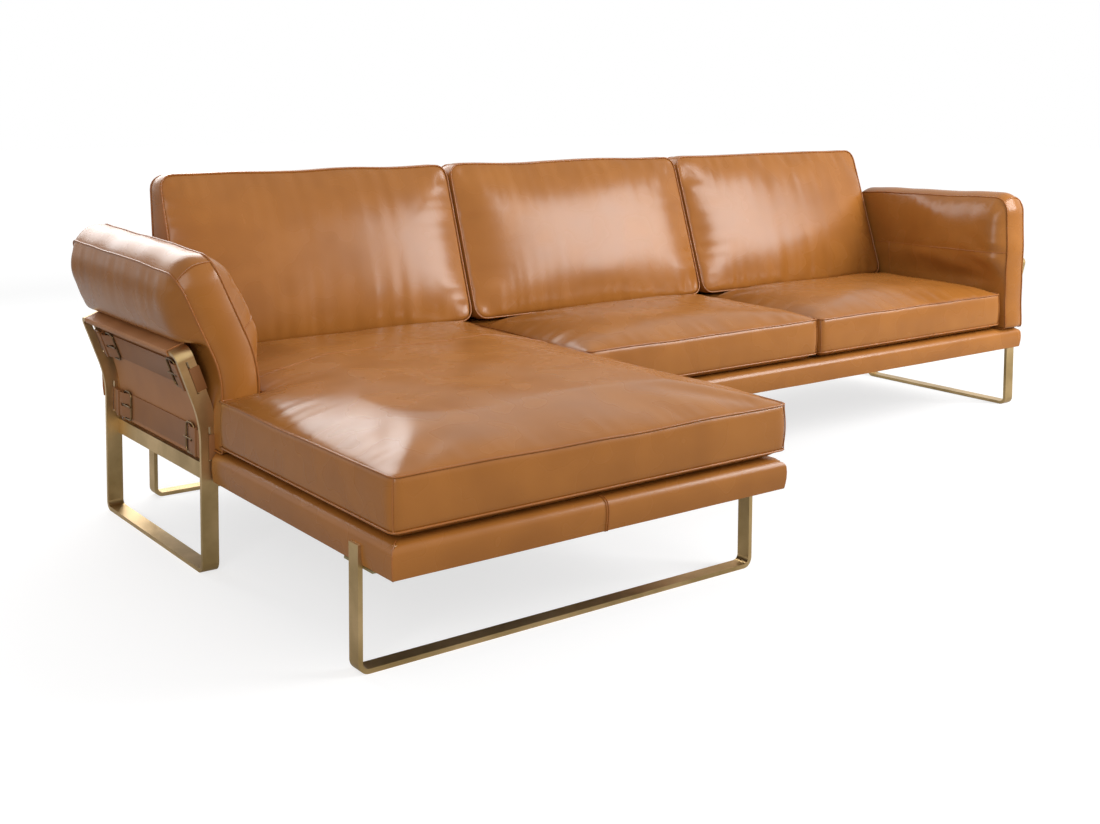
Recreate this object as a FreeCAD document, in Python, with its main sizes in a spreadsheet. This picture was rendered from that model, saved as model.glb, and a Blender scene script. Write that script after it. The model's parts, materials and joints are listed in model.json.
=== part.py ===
import FreeCAD, Part
import os
from math import cos, radians, sin, tan
from types import SimpleNamespace

import Sketcher
from FreeCAD import Placement, Rotation, Vector

# Corner sofa: a chaise at the left, two seats at the right, arms on strapped flat-bar frames.
# Building frame: X along the sofa from the chaise's left face, Y to the back from the chaise's
# front face, Z up from the floor. The finished parts are moved so that the origin is at the
# middle of the footprint.

doc = FreeCAD.newDocument("ChaiseSofa")
sheet = doc.addObject("Spreadsheet::Sheet", "Sheet")

drivingDimensions = (
    # bases
    ("chaiseWidth", 1020, "chaise base, left face to right face"),
    ("baseDepth", 1522, "chaise front face to the back of both bases"),
    ("sofaFront", 735, "front face of the two-seat base"),
    ("sofaEnd", 2962, "right end of the two-seat base"),
    ("moduleGap", 2, "gap between the two bases"),
    ("baseBottom", 213, "underside of the bases above the floor"),
    ("baseHeight", 70, "height of the wrapped rail"),
    ("coverWall", 8, "padding and leather on the side of the rail"),
    ("coverLip", 6, "padding and leather above and below the rail"),
    ("railWidth", 60, "timber rail"),
    ("railRound", 14, "rounded edges of the wrapped rail"),
    ("railCorner", 10, "rounded corners of the wrapped rail in plan"),
    ("webWidth", 50, "elastic webbing"),
    ("webThick", 3, "elastic webbing thickness"),
    ("webPitch", 92, "spacing of the webbing"),
    # bent flat-bar legs
    ("sledWidth", 36, "flat bar of the legs"),
    ("barThick", 10, "thickness of every flat bar"),
    ("sledBend", 24, "outer radius of the bends"),
    ("sledFront", 110, "front edge of the front leg"),
    ("sledTop", 254, "top of the front leg's uprights on the base"),
    ("rearSledInset", 113, "rear leg in from the chaise's sides"),
    ("rearSledFront", 1448, "front edge of the rear leg"),
    ("middleSledLeft", 1042, "left edge of the middle leg"),
    ("middleSledFront", 800, "front of the middle leg"),
    ("middleSledLength", 610, "middle leg, front to back"),
    ("plateLength", 110, "leg plate, long side"),
    ("plateWidth", 70, "leg plate, short side"),
    ("plateThick", 5, "leg plate thickness"),
    ("plateEdge", 5, "plate past the leg that is welded to it"),
    ("rearPlateEdge", 2, "rear plates in front of the rear leg"),
    ("rearPlateSetback", 4, "rear plates in from the back of the base"),
    ("connectorWidth", 90, "connector plate across the joint of the bases"),
    ("connectorDepth", 50, "connector plate along the joint"),
    ("connectorFront", 940, "front connector plate"),
    ("connectorPitch", 300, "front connector plate to the rear one"),
    ("screwInset", 14, "screw centre from the plate's edges"),
    ("screwBeside", 30, "screw centre beside a leg that is welded under the plate"),
    ("screwHeadRadius", 6.5, "leg screw, head"),
    ("screwHeadHeight", 3.5, "leg screw, head"),
    ("screwShankRadius", 2.5, "leg screw, shank"),
    ("screwDepth", 42, "leg screw in plate and rail"),
    ("screwHoleRadius", 2.8, "hole for a leg screw"),
    ("holeSpare", 1, "holes cut past each face"),
    # strapped arm frames
    ("armBar", 40, "flat bar of the arm frames"),
    ("armOut", 24.5, "frame stands this far outside the base's side"),
    ("armNotch", 20, "recess in the base behind the front upright"),
    ("notchGap", 7, "rail end in front of the upright"),
    ("armLength", 622, "arm frame, front face to rear face"),
    ("leftArmFront", 804, "front face of the left arm frame"),
    ("rightArmFront", 774, "front face of the right arm frame"),
    ("flareStart", 300, "height where the uprights begin to lean out"),
    ("flareRadius", 300, "bend of the upright's middle line"),
    ("flareAngle", 20, "lean of the upright's top"),
    ("flareLength", 128, "straight leaning stretch"),
    ("crossRailBottom", 200, "underside of the cross rail"),
    ("crossRailHeight", 38, "cross rail on edge"),
    ("crossRailLap", 8, "cross rail behind the upright"),
    # belts and buckles
    ("beltWidth", 62, "leather belt"),
    ("leatherThick", 2.5, "belt leather"),
    ("slotLength", 80, "belt slot in the upright"),
    ("slotWidth", 5, "belt slot in the upright"),
    ("slotSpare", 2, "slot below the belt"),
    ("lowerBelt", 262, "lower edge of the lower belt"),
    ("upperBeltAlong", 20, "lower edge of the upper belt along the leaning stretch"),
    ("buckleFromUpright", 88, "buckle's heel bar behind the upright's face"),
    ("buckleLength", 45, "buckle along the belt"),
    ("buckleHeight", 72, "buckle across the belt"),
    ("buckleCorner", 12, "buckle's corner radius"),
    ("wireRadius", 2.5, "buckle wire"),
    ("prongRadius", 2, "buckle tongue"),
    ("slingBottom", 252, "lower edge of the sling"),
    ("slingInset", 40, "sling's sleeve starts behind the bend of the top bar"),
    ("slingOffset", 7, "sling's panel inside the middle of the bar"),
    ("slingThick", 3, "sling leather"),
    # arm cushions
    ("hingeInset", 52, "tilt axis in from the base's side"),
    ("hingeHeight", 480, "tilt axis above the floor"),
    ("armHalf", 45, "half the arm's thickness between its seams"),
    ("armRise", 258, "tilt axis to the top seam"),
    ("armTilt", 24.4, "arm leaning out on the top bar"),
    ("armNose", 45, "arm cushion in front of the frame"),
    ("armTail", 10, "arm cushion behind the frame"),
    ("armCorner", 48, "rounded top corners of the arm"),
    ("armCrown", 14, "swell of the arm's faces"),
    ("leftArmClimb", 24, "rise of the left arm's top towards the rear"),
    ("rightArmClimb", -18, "rise of the right arm's top towards the rear"),
    ("knuckleGap", 1, "clearance at the fold of the arm"),
    # seat and back cushions
    ("seatLow", 293, "lower seam of the seats"),
    ("seatSeam", 405, "upper seam of the seats"),
    ("seatCrown", 28, "swell of the seats' tops"),
    ("seatBack", 1432, "rear of the seats"),
    ("seatGap", 6, "gap between neighbouring cushions"),
    ("seatSplit", 1938, "line between the middle and the right seat"),
    ("backBottom", 416, "underside of the back cushions"),
    ("backTop", 873, "upper front seam of the back cushions"),
    ("backFront", 1254, "lower front seam of the back cushions"),
    ("backLean", 19, "lean of their front panel"),
    ("backCrown", 38, "swell of their front panel"),
    # backs
    ("backrestFront", 1440, "front of the backs where they stand on the bases"),
    ("backrestThick", 76, "backs, front to rear"),
    ("backrestTop", 680, "top of the backs"),
    ("backrestLean", 4.5, "lean of the backs"),
    ("backrestPad", 13, "padding and leather round the back frames"),
    ("backrestRound", 26, "rounded edges of the backs"),
    ("backrestStile", 90, "stiles and rails of the back frames"),
    ("backrestBay", 1000, "most usual width of a bay of the back frames"),
    ("backrestEnd", 2, "backs in from the ends of the bases"),
    # position of the finished part
    ("originX", 0, "middle of the footprint"),
    ("originY", 0, "middle of the footprint"),
)
for row, (alias, value, note) in enumerate(drivingDimensions, start=1):
    sheet.set(f"A{row}", note)
    sheet.set(f"B{row}", str(value))
    sheet.setAlias(f"B{row}", alias)
doc.recompute()
d = SimpleNamespace(**{alias: float(sheet.get(alias)) for alias, _, _ in drivingDimensions})

baseTop = d.baseBottom + d.baseHeight
parts = []


def sheetExpression(text):
    """Writes the aliases in an expression as cells of the sheet."""
    for alias in sorted((name for name, _, _ in drivingDimensions), key=len, reverse=True):
        text = text.replace(f"@{alias}", f"Sheet.{alias}")
    return text


def sheetValue(text):
    return float(sheet.evalExpression(text.replace("@", "")))


def settle(part, label, x="0", y="0", z="0"):
    """Names a finished part and binds its place to the sheet."""
    part.Label = label
    part.setExpression("Placement.Base.x", sheetExpression(f"{x} - @originX"))
    part.setExpression("Placement.Base.y", sheetExpression(f"{y} - @originY"))
    part.setExpression("Placement.Base.z", sheetExpression(z))
    parts.append(part)
    return part


def shapePart(label, shape):
    """Keeps a solid where it was drawn, so that its placement is free for the sheet."""
    there = shape.Placement.toMatrix()
    drawn = shape.copy()
    drawn.Placement = Placement()
    feature = doc.addObject("Part::Feature", label)
    feature.Shape = drawn.transformed(there, copy=True)
    return settle(feature, label)


# Bound primitives


def bind(feature, expressions):
    """Binds properties of a feature to expressions of the sheet."""
    for path, text in expressions.items():
        feature.setExpression(path, sheetExpression(text))
    return feature


corner = ("Placement.Base.x", "Placement.Base.y", "Placement.Base.z")


def boundBox(name, place, size):
    box = doc.addObject("Part::Box", name)
    return bind(box, dict(zip((*corner, "Length", "Width", "Height"), (*place, *size))))


def boundRod(name, place, radius, height):
    cylinder = doc.addObject("Part::Cylinder", name)
    return bind(cylinder, dict(zip((*corner, "Radius", "Height"), (*place, radius, height))))


def group(name, members):
    compound = doc.addObject("Part::Compound", name)
    compound.Links = members
    return compound


def combine(kind, name, base, tool):
    feature = doc.addObject(kind, name)
    feature.Base = base
    feature.Tool = tool
    return feature


# Sketched bodies


def newBody(label):
    return doc.addObject("PartDesign::Body", label)


def newSketch(body, role):
    sketch = body.newObject("Sketcher::SketchObject", f"{body.Name}_{role}")
    plane = next(item for item in body.Origin.OriginFeatures if item.Role == role)
    sketch.AttachmentSupport = [(plane, "")]
    sketch.MapMode = "FlatFace"
    return sketch


def drive(sketch, kind, where, value, expression):
    """Adds a dimension to a sketch and binds it to the sheet."""
    number = sketch.addConstraint(Sketcher.Constraint(kind, *where, value))
    sketch.setExpression(f"Constraints[{number}]", sheetExpression(expression))


def sketchRectangle(sketch, width, height, left=None, bottom=None):
    """Adds a constrained rectangle, at the origin or at a distance from it."""
    x = sheetValue(left) if left else 0.0
    y = sheetValue(bottom) if bottom else 0.0
    w = sheetValue(width)
    h = sheetValue(height)
    first = sketch.GeometryCount
    corners = (Vector(x, y), Vector(x + w, y), Vector(x + w, y + h), Vector(x, y + h))
    for index in range(4):
        sketch.addGeometry(Part.LineSegment(corners[index], corners[(index + 1) % 4]), False)
    for index in range(4):
        sketch.addConstraint(
            Sketcher.Constraint("Coincident", first + index, 2, first + (index + 1) % 4, 1)
        )
        direction = "Vertical" if index % 2 else "Horizontal"
        sketch.addConstraint(Sketcher.Constraint(direction, first + index))

    drive(sketch, "DistanceX", (first, 1, first, 2), w, width)
    drive(sketch, "DistanceY", (first + 1, 1, first + 1, 2), h, height)
    if left:
        drive(sketch, "DistanceX", (-1, 1, first, 1), x, left)
        drive(sketch, "DistanceY", (-1, 1, first, 1), y, bottom)
    else:
        sketch.addConstraint(Sketcher.Constraint("Coincident", first, 1, -1, 1))


def pad(body, sketch, length, reverse=False):
    feature = body.newObject("PartDesign::Pad", f"{body.Name}_Pad")
    feature.Profile = sketch
    feature.setExpression("Length", sheetExpression(length))
    feature.Reversed = reverse
    doc.recompute()
    return feature


def pocketThrough(body, sketch):
    before = body.Shape.Volume
    feature = body.newObject("PartDesign::Pocket", f"{body.Name}_Pocket")
    feature.Profile = sketch
    feature.Type = "ThroughAll"
    feature.Midplane = True
    doc.recompute()
    if not body.Shape.Volume < before:
        raise RuntimeError(f"{body.Name}: the pocket cut nothing")
    return feature


def roundEdges(body, base, radius, chosen):
    names = [f"Edge{n}" for n, edge in enumerate(base.Shape.Edges, start=1) if chosen(edge)]
    feature = body.newObject("PartDesign::Fillet", f"{body.Name}_Fillet")
    feature.Base = (base, names)
    feature.setExpression("Radius", sheetExpression(radius))
    doc.recompute()
    return feature


def edgeAlong(edge, axis):
    if len(edge.Vertexes) < 2:
        return False
    run = edge.Vertexes[1].Point - edge.Vertexes[0].Point
    return run.Length > 1e-6 and abs(abs(run.normalize().dot(axis)) - 1) < 1e-6


# Solids from outlines


def outline(start, *steps):
    """A closed face: a step is the end of a line, or a point on an arc and its end."""
    edges = []
    here = start
    for step in (*steps, (start,)):
        end = step[-1]
        if here.distanceToPoint(end) > 1e-7:
            if len(step) == 1:
                edges.append(Part.LineSegment(here, end).toShape())
            else:
                edges.append(Part.Arc(here, step[0], end).toShape())
        here = end
    return Part.Wire(edges)


def prism(wire, along):
    return Part.Face(wire).extrude(along)


def block(x0, x1, y0, y1, z0, z1):
    return Part.makeBox(x1 - x0, y1 - y0, z1 - z0, Vector(x0, y0, z0))


def rod(radius, start, end):
    return Part.makeCylinder(radius, (end - start).Length, start, end - start)


# Bases: timber ladder frame, padded leather wrap, elastic webbing


def baseFrame(name, left, front, width, depth, openings):
    body = newBody(name)
    sketch = newSketch(body, "XY_Plane")
    sketchRectangle(sketch, f"{width} - 2 * @coverWall", f"{depth} - 2 * @coverWall")
    pad(body, sketch, "@baseHeight - 2 * @coverLip")
    holes = newSketch(body, "XY_Plane")
    for opening in openings:
        sketchRectangle(holes, *opening)
    pocketThrough(body, holes)
    place = (f"{left} + @coverWall", f"{front} + @coverWall", "@baseBottom + @coverLip")
    return bind(body, dict(zip(corner, place)))


chaiseRailLeft = "(@railWidth + @armNotch)"
chaiseOpening = f"@chaiseWidth - 2 * @coverWall - {chaiseRailLeft} - @railWidth"
chaiseBay = "@sofaFront - 2 * @railWidth"
chaiseRearBay = "@baseDepth - @sofaFront - 2 * @coverWall - @railWidth"
sofaWidth = "@sofaEnd - @chaiseWidth - @moduleGap"
sofaDepth = "@baseDepth - @sofaFront"
sofaBay = f"({sofaWidth} - 2 * @coverWall - 3 * @railWidth - @armNotch) / 2"

chaiseFrame = baseFrame(
    "chaise_base_timber", "0", "0", "@chaiseWidth", "@baseDepth",
    (
        (chaiseOpening, chaiseBay, chaiseRailLeft, "@railWidth"),
        (chaiseOpening, chaiseRearBay, chaiseRailLeft, "@sofaFront"),
    ),
)
sofaFrame = baseFrame(
    "sofa_base_timber", "@chaiseWidth + @moduleGap", "@sofaFront", sofaWidth, sofaDepth,
    (
        (sofaBay, f"{sofaDepth} - 2 * @coverWall - 2 * @railWidth", "@railWidth", "@railWidth"),
        (
            sofaBay, f"{sofaDepth} - 2 * @coverWall - 2 * @railWidth",
            f"2 * @railWidth + {sofaBay}", "@railWidth",
        ),
    ),
)
doc.recompute()

# The arm frames stand in a recess of each base's outer side, behind a short rail end.
leftRecess = block(0, d.armNotch, d.leftArmFront - d.notchGap, d.baseDepth, 0, baseTop)
rightRecess = block(
    d.sofaEnd - d.armNotch, d.sofaEnd, d.rightArmFront - d.notchGap, d.baseDepth, 0, baseTop
)
recessSize = ("@armNotch + @coverWall", "@baseDepth", "@baseBottom + @baseHeight")
leftPadding = boundBox(
    "left_recess_padding", ("0", "@leftArmFront - @notchGap - @coverWall", "0"), recessSize
)
rightPadding = boundBox(
    "right_recess_padding",
    ("@sofaEnd - @armNotch - @coverWall", "@rightArmFront - @notchGap - @coverWall", "0"), recessSize,
)
doc.recompute()


def wrappedRail(name, box, recess, cavity, opening):
    """Rounded leather-wrapped rail round the timber, open inside."""
    rail = box.cut(recess)
    around = rail.BoundBox

    def onOutside(point):
        sides = (
            point.x - around.XMin, around.XMax - point.x, point.y - around.YMin, around.YMax - point.y
        )
        return min(sides) < 1e-3

    corners = [e for e in rail.Edges if edgeAlong(e, Vector(0, 0, 1)) and onOutside(e.CenterOfMass)]
    rail = rail.makeFillet(d.railCorner, corners)
    rims = [e for e in rail.Edges if e.BoundBox.ZLength < 1e-3 and e.CenterOfMass.z > baseTop - 1]
    rail = rail.makeFillet(d.railRound, rims)
    wrap = doc.addObject("Part::Feature", name)
    wrap.Shape = rail.cut(cavity).cut(opening)
    return wrap


lipBottom = d.baseBottom + d.coverLip
lipTop = baseTop - d.coverLip
rim = d.coverWall + d.railWidth
sofaLeft = d.chaiseWidth + d.moduleGap

chaiseCavity = block(
    d.coverWall, d.chaiseWidth - d.coverWall, d.coverWall, d.baseDepth - d.coverWall, lipBottom, lipTop
)
sofaCavity = block(
    sofaLeft + d.coverWall, d.sofaEnd - d.coverWall, d.sofaFront + d.coverWall, d.baseDepth - d.coverWall,
    lipBottom, lipTop,
)
chaiseCover = wrappedRail(
    "chaise_base_wrap",
    block(0, d.chaiseWidth, 0, d.baseDepth, d.baseBottom, baseTop), leftRecess,
    chaiseCavity.cut(leftPadding.Shape),
    block(rim + d.armNotch, d.chaiseWidth - rim, rim, d.baseDepth - rim, 0, baseTop),
)
sofaCover = wrappedRail(
    "sofa_base_wrap",
    block(sofaLeft, d.sofaEnd, d.sofaFront, d.baseDepth, d.baseBottom, baseTop), rightRecess,
    sofaCavity.cut(rightPadding.Shape),
    block(sofaLeft + rim, d.sofaEnd - rim - d.armNotch, d.sofaFront + rim, d.baseDepth - rim, 0, baseTop),
)


def webbing(label, place, size, pitchAxis, bays, count):
    """Rows of straps, centred in the bays of the frame that they cross."""
    straps = []
    for number, (start, room) in enumerate(bays):
        spare = f"({room} - {count - 1} * @webPitch - @webWidth) / 2"
        for index in range(count):
            there = list(place)
            there[pitchAxis] = f"{start} + {spare} + {index} * @webPitch"
            straps.append(boundBox(f"{label}_{number}_{index}", there, size))
    return settle(group(label, straps), label)


webBottom = "@baseBottom + @baseHeight - @coverLip - @webThick"
railInner = "@coverWall + @railWidth"
webbing(
    "chaise_webbing", (f"@coverWall + {chaiseRailLeft}", "0", webBottom),
    (chaiseOpening, "@webWidth", "@webThick"),
    1, ((railInner, chaiseBay), ("@coverWall + @sofaFront", chaiseRearBay)), 7,
)
sofaInner = f"@chaiseWidth + @moduleGap + {railInner}"
webbing(
    "sofa_webbing", ("0", f"@sofaFront + {railInner}", webBottom),
    ("@webWidth", f"{sofaDepth} - 2 * ({railInner})", "@webThick"),
    0, ((sofaInner, sofaBay), (f"{sofaInner} + {sofaBay} + @railWidth", sofaBay)), 9,
)


# Bent flat-bar legs: each is one bar, up, along the floor and up again


def sledLeg(label, role, length, height, x, y):
    body = newBody(label)
    outer = newSketch(body, role)
    sketchRectangle(outer, length, height)
    pad(body, outer, "@sledWidth", reverse=role == "XZ_Plane")
    inner = newSketch(body, role)
    sketchRectangle(inner, f"{length} - 2 * @barThick", height, "@barThick", "@barThick")
    bent = pocketThrough(body, inner)
    axis = Vector(0, 1, 0) if role == "XZ_Plane" else Vector(1, 0, 0)
    outside = roundEdges(
        body, bent, "@sledBend", lambda edge: edgeAlong(edge, axis) and edge.CenterOfMass.z < 1
    )
    roundEdges(
        body, outside, "@sledBend - @barThick",
        lambda edge: edgeAlong(edge, axis) and abs(edge.CenterOfMass.z - d.barThick) < 1e-3
        and edge.Length > d.sledWidth - 1,
    )
    return settle(body, label, x, y)


sledLeg(
    "front_sled", "XZ_Plane", "@chaiseWidth + 2 * @barThick", "@sledTop", "-1 * @barThick", "@sledFront"
)
plateUnder = "@baseBottom - @plateThick"
sledLeg(
    "rear_sled", "XZ_Plane", "@chaiseWidth - 2 * @rearSledInset", plateUnder, "@rearSledInset",
    "@rearSledFront",
)
sledLeg(
    "middle_sled", "YZ_Plane", "@middleSledLength", plateUnder, "@middleSledLeft", "@middleSledFront"
)

# Leg plates under the bases, each with four screws that clear the bars welded to it
screwPlaces = []
besideLeg = "(@barThick + @screwBeside)"


def screwedPlate(name, place, size, low=("@screwInset", "@screwInset"), high=("@screwInset", "@screwInset")):
    """A plate under a base; low and high are its screws' distances from its edges."""
    rows = [(f"{start} + {near}", f"{start} + {run} - {far}")
            for start, run, near, far in zip(place, size, low, high)]
    screwPlaces.extend((x, y) for x in rows[0] for y in rows[1])
    return boundBox(name, (*place, plateUnder), (*size, "@plateThick"))


frontPlate = "@sledFront + (@sledWidth - @plateLength) / 2"
frontPlateSize = ("@plateWidth", "@plateLength")
rearPlate = "@rearSledFront - @rearPlateEdge"
rearPlateSize = ("@plateLength", f"@baseDepth - @rearPlateSetback - ({rearPlate})")
middleRail = "@chaiseWidth + @moduleGap + @coverWall"
middlePlateSize = ("@railWidth", "@plateLength")
legPlates = [
    screwedPlate("front_left_plate", ("0", frontPlate), frontPlateSize),
    screwedPlate("front_right_plate", ("@chaiseWidth - @plateWidth", frontPlate), frontPlateSize),
    screwedPlate(
        "rear_left_plate", ("@rearSledInset - @plateEdge", rearPlate), rearPlateSize,
        low=(besideLeg, "@screwInset"),
    ),
    screwedPlate(
        "rear_right_plate", ("@chaiseWidth - @rearSledInset + @plateEdge - @plateLength", rearPlate),
        rearPlateSize, high=(besideLeg, "@screwInset"),
    ),
    screwedPlate(
        "middle_front_plate", (middleRail, "@middleSledFront - @plateEdge"), middlePlateSize,
        low=("@screwInset", besideLeg),
    ),
    screwedPlate(
        "middle_rear_plate", (middleRail, "@middleSledFront + @middleSledLength + @plateEdge - @plateLength"),
        middlePlateSize, high=("@screwInset", besideLeg),
    ),
]
connectorPlates = [
    screwedPlate(
        f"connector_plate_{index}",
        ("@chaiseWidth - @connectorWidth / 2", f"@connectorFront + {index} * @connectorPitch"),
        ("@connectorWidth", "@connectorDepth"),
    )
    for index in range(2)
]
screws = []
holes = []
for index, (x, y) in enumerate(screwPlaces):
    head = boundRod(
        f"head_{index}", (x, y, f"{plateUnder} - @screwHeadHeight"), "@screwHeadRadius", "@screwHeadHeight"
    )
    shank = boundRod(f"shank_{index}", (x, y, plateUnder), "@screwShankRadius", "@screwDepth")
    screws.append(combine("Part::Fuse", f"screw_{index}", head, shank))
    holes.append(
        boundRod(
            f"hole_{index}", (x, y, f"{plateUnder} - @holeSpare"), "@screwHoleRadius",
            "@screwDepth + 2 * @holeSpare",
        )
    )
screwHoles = group("screw_holes", holes)
settle(group("screws", screws), "leg_screws")
drilled = (
    ("leg_plates", group("leg_plate_blanks", legPlates), screwHoles),
    ("connector_plates", group("connector_plate_blanks", connectorPlates), screwHoles),
    ("chaise_base_cover", chaiseCover, screwHoles),
    ("sofa_base_cover", sofaCover, screwHoles),
    ("chaise_base_frame", chaiseFrame, group("chaise_base_cutter", [leftPadding, screwHoles])),
    ("sofa_base_frame", sofaFrame, group("sofa_base_cutter", [rightPadding, screwHoles])),
)
for label, blank, cutter in drilled:
    settle(combine("Part::Cut", label, blank, cutter), label)
doc.recompute()

# Strapped arms. Every fixed piece is made for the left arm and mirrored for the right one.
barMiddle = d.armBar / 2 - d.armOut
leanAngle = radians(d.flareAngle)
bendCentre = barMiddle - d.flareRadius
leanStart = Vector(
    bendCentre + d.flareRadius * cos(leanAngle), 0, d.flareStart + d.flareRadius * sin(leanAngle)
)
leanTurn = Rotation(Vector(0, 1, 0), -d.flareAngle)
leanHeight = "(@flareStart + @flareRadius * sin(@flareAngle * 1deg))"
leanMiddle = "(@armBar / 2 - @armOut - @flareRadius * (1 - cos(@flareAngle * 1deg)))"


def flaredBand(near, far, bottom, rise):
    """Outline of a band that follows the upright, between two offsets from its middle line."""
    up = Vector(-sin(leanAngle), 0, cos(leanAngle)) * rise

    def at(offset, turn):
        radius = d.flareRadius + offset
        return Vector(bendCentre + radius * cos(turn), 0, d.flareStart + radius * sin(turn))

    return outline(
        Vector(barMiddle + near, 0, bottom),
        (at(near, 0),),
        (at(near, leanAngle / 2), at(near, leanAngle)),
        (at(near, leanAngle) + up,),
        (at(far, leanAngle) + up,),
        (at(far, leanAngle),),
        (at(far, leanAngle / 2), at(far, 0)),
        (Vector(barMiddle + far, 0, bottom),),
    )


def leaning(shape, along=0.0):
    """Places a shape drawn about the upright's middle line on its leaning stretch."""
    shape = shape.copy()
    there = Placement(leanStart + leanTurn.multVec(Vector(0, 0, along)), leanTurn)
    shape.Placement = there.multiply(shape.Placement)
    return shape


def flaredProfile(sketch):
    """The upright seen from the front: straight, bent outwards, and straight again to the top bar."""
    near = d.flareRadius - d.armBar / 2
    far = d.flareRadius + d.armBar / 2
    centre = Vector(bendCentre, d.flareStart)
    rise = Vector(-sin(leanAngle), cos(leanAngle)) * d.flareLength

    def onBend(radius, turn):
        return centre + Vector(cos(turn), sin(turn)) * radius

    def line(start, end):
        sketch.addGeometry(Part.LineSegment(start, end), False)

    def bend(radius):
        circle = Part.Circle(centre, Vector(0, 0, 1), radius)
        sketch.addGeometry(Part.ArcOfCircle(circle, 0, leanAngle), False)

    nearFoot = Vector(bendCentre + near, 0)
    farFoot = Vector(bendCentre + far, 0)
    nearTop = onBend(near, leanAngle) + rise
    farTop = onBend(far, leanAngle) + rise
    line(nearFoot, onBend(near, 0))
    bend(near)
    line(onBend(near, leanAngle), nearTop)
    line(nearTop, farTop)
    line(farTop, onBend(far, leanAngle))
    bend(far)
    line(onBend(far, 0), farFoot)
    line(farFoot, nearFoot)
    for place in ((0, 2, 1, 1), (1, 2, 2, 1), (4, 2, 5, 2), (5, 1, 6, 1)):
        sketch.addConstraint(Sketcher.Constraint("Tangent", *place))
    for place in ((2, 2, 3, 1), (3, 2, 4, 1), (6, 2, 7, 1), (7, 2, 0, 1), (1, 3, 5, 3)):
        sketch.addConstraint(Sketcher.Constraint("Coincident", *place))
    for kind, *place in (
        ("Vertical", 0), ("Vertical", 6), ("Horizontal", 7), ("Parallel", 2, 4), ("Perpendicular", 2, 3),
        ("PointOnObject", 0, 1, -1),
    ):
        sketch.addConstraint(Sketcher.Constraint(kind, *place))
    drive(sketch, "DistanceX", (0, 1, -1, 1), d.armOut, "@armOut")
    drive(sketch, "DistanceX", (0, 1, 6, 2), d.armBar, "@armBar")
    drive(sketch, "DistanceY", (0, 1, 0, 2), d.flareStart, "@flareStart")
    drive(sketch, "Radius", (1,), near, "@flareRadius - @armBar / 2")
    drive(sketch, "Angle", (2,), radians(90) + leanAngle, "(90 + @flareAngle) * 1deg")
    drive(sketch, "Distance", (2,), d.flareLength, "@flareLength")


def leaningSketch(body, role):
    """A sketch on the leaning stretch, seen from the front or from the side."""
    sketch = newSketch(body, role)
    offset = ("AttachmentOffset.Base.x", "AttachmentOffset.Base.y", "AttachmentOffset.Base.z")
    if role == "XZ_Plane":
        place = (leanMiddle, leanHeight, "0")
        turn = Rotation(Vector(0, 0, 1), d.flareAngle)
    else:
        place = ("0", leanHeight, leanMiddle)
        turn = Rotation(Vector(-1, 0, 0), d.flareAngle)
    sketch.AttachmentOffset = Placement(Vector(), turn)
    bind(sketch, dict(zip(offset, place)))
    bind(sketch, {"AttachmentOffset.Rotation.Angle": "@flareAngle * 1deg"})
    doc.recompute()
    return sketch


def armFrame(label):
    """One flat bar bent round: floor runner, flared uprights and top bar, with slots for the belts."""
    body = newBody(label)
    profile = newSketch(body, "XZ_Plane")
    flaredProfile(profile)
    solid = pad(body, profile, "@armLength", reverse=True)
    across = leanTurn.multVec(Vector(1, 0, 0))
    innerFaces = (d.barThick, d.armLength - d.barThick)

    def atEnds(edge):
        return min(edge.CenterOfMass.y, d.armLength - edge.CenterOfMass.y) < 1e-3

    def onInnerFace(edge):
        return min(abs(edge.CenterOfMass.y - face) for face in innerFaces) < 1e-3

    def outsideBend(edge):
        low = edgeAlong(edge, Vector(1, 0, 0)) and edge.CenterOfMass.z < 1e-3
        return atEnds(edge) and (low or edgeAlong(edge, across))

    def lowerBend(edge):
        onRunner = abs(edge.CenterOfMass.z - d.barThick) < 1e-3
        return onRunner and onInnerFace(edge) and edgeAlong(edge, Vector(1, 0, 0))

    def upperBend(edge):
        return onInnerFace(edge) and edgeAlong(edge, across) and edge.CenterOfMass.z > leanStart.z + d.armBar

    innerRadius = "@sledBend - @barThick"
    windowLength = "@armLength - 2 * @barThick"
    roundEdges(body, solid, "@sledBend", outsideBend)
    window = newSketch(body, "YZ_Plane")
    sketchRectangle(window, windowLength, f"{leanHeight} + @armBar / 2 - @barThick", "@barThick", "@barThick")
    roundEdges(body, pocketThrough(body, window), innerRadius, lowerBend)
    window = leaningSketch(body, "YZ_Plane")
    sketchRectangle(window, windowLength, "@flareLength - 2 * @barThick", "@barThick", "@barThick")
    roundEdges(body, pocketThrough(body, window), innerRadius, upperBend)
    slot = newSketch(body, "XZ_Plane")
    slotLeft = "@armBar / 2 - @armOut - @slotWidth / 2"
    sketchRectangle(slot, "@slotWidth", "@slotLength", slotLeft, "@lowerBelt - @slotSpare")
    pocketThrough(body, slot)
    slot = leaningSketch(body, "XZ_Plane")
    sketchRectangle(slot, "@slotWidth", "@slotLength", "-0.5 * @slotWidth", "@upperBeltAlong - @slotSpare")
    pocketThrough(body, slot)
    return settle(body, label, y="@leftArmFront")


def crossRail(label):
    inside = "@armBar - @armOut - @crossRailLap"
    size = (f"@armNotch - ({inside})", "@armLength - 2 * @barThick", "@crossRailHeight")
    rail = boundBox(label, ("0", "0", "0"), size)
    return settle(rail, label, inside, "@leftArmFront + @barThick", "@crossRailBottom")


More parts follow.
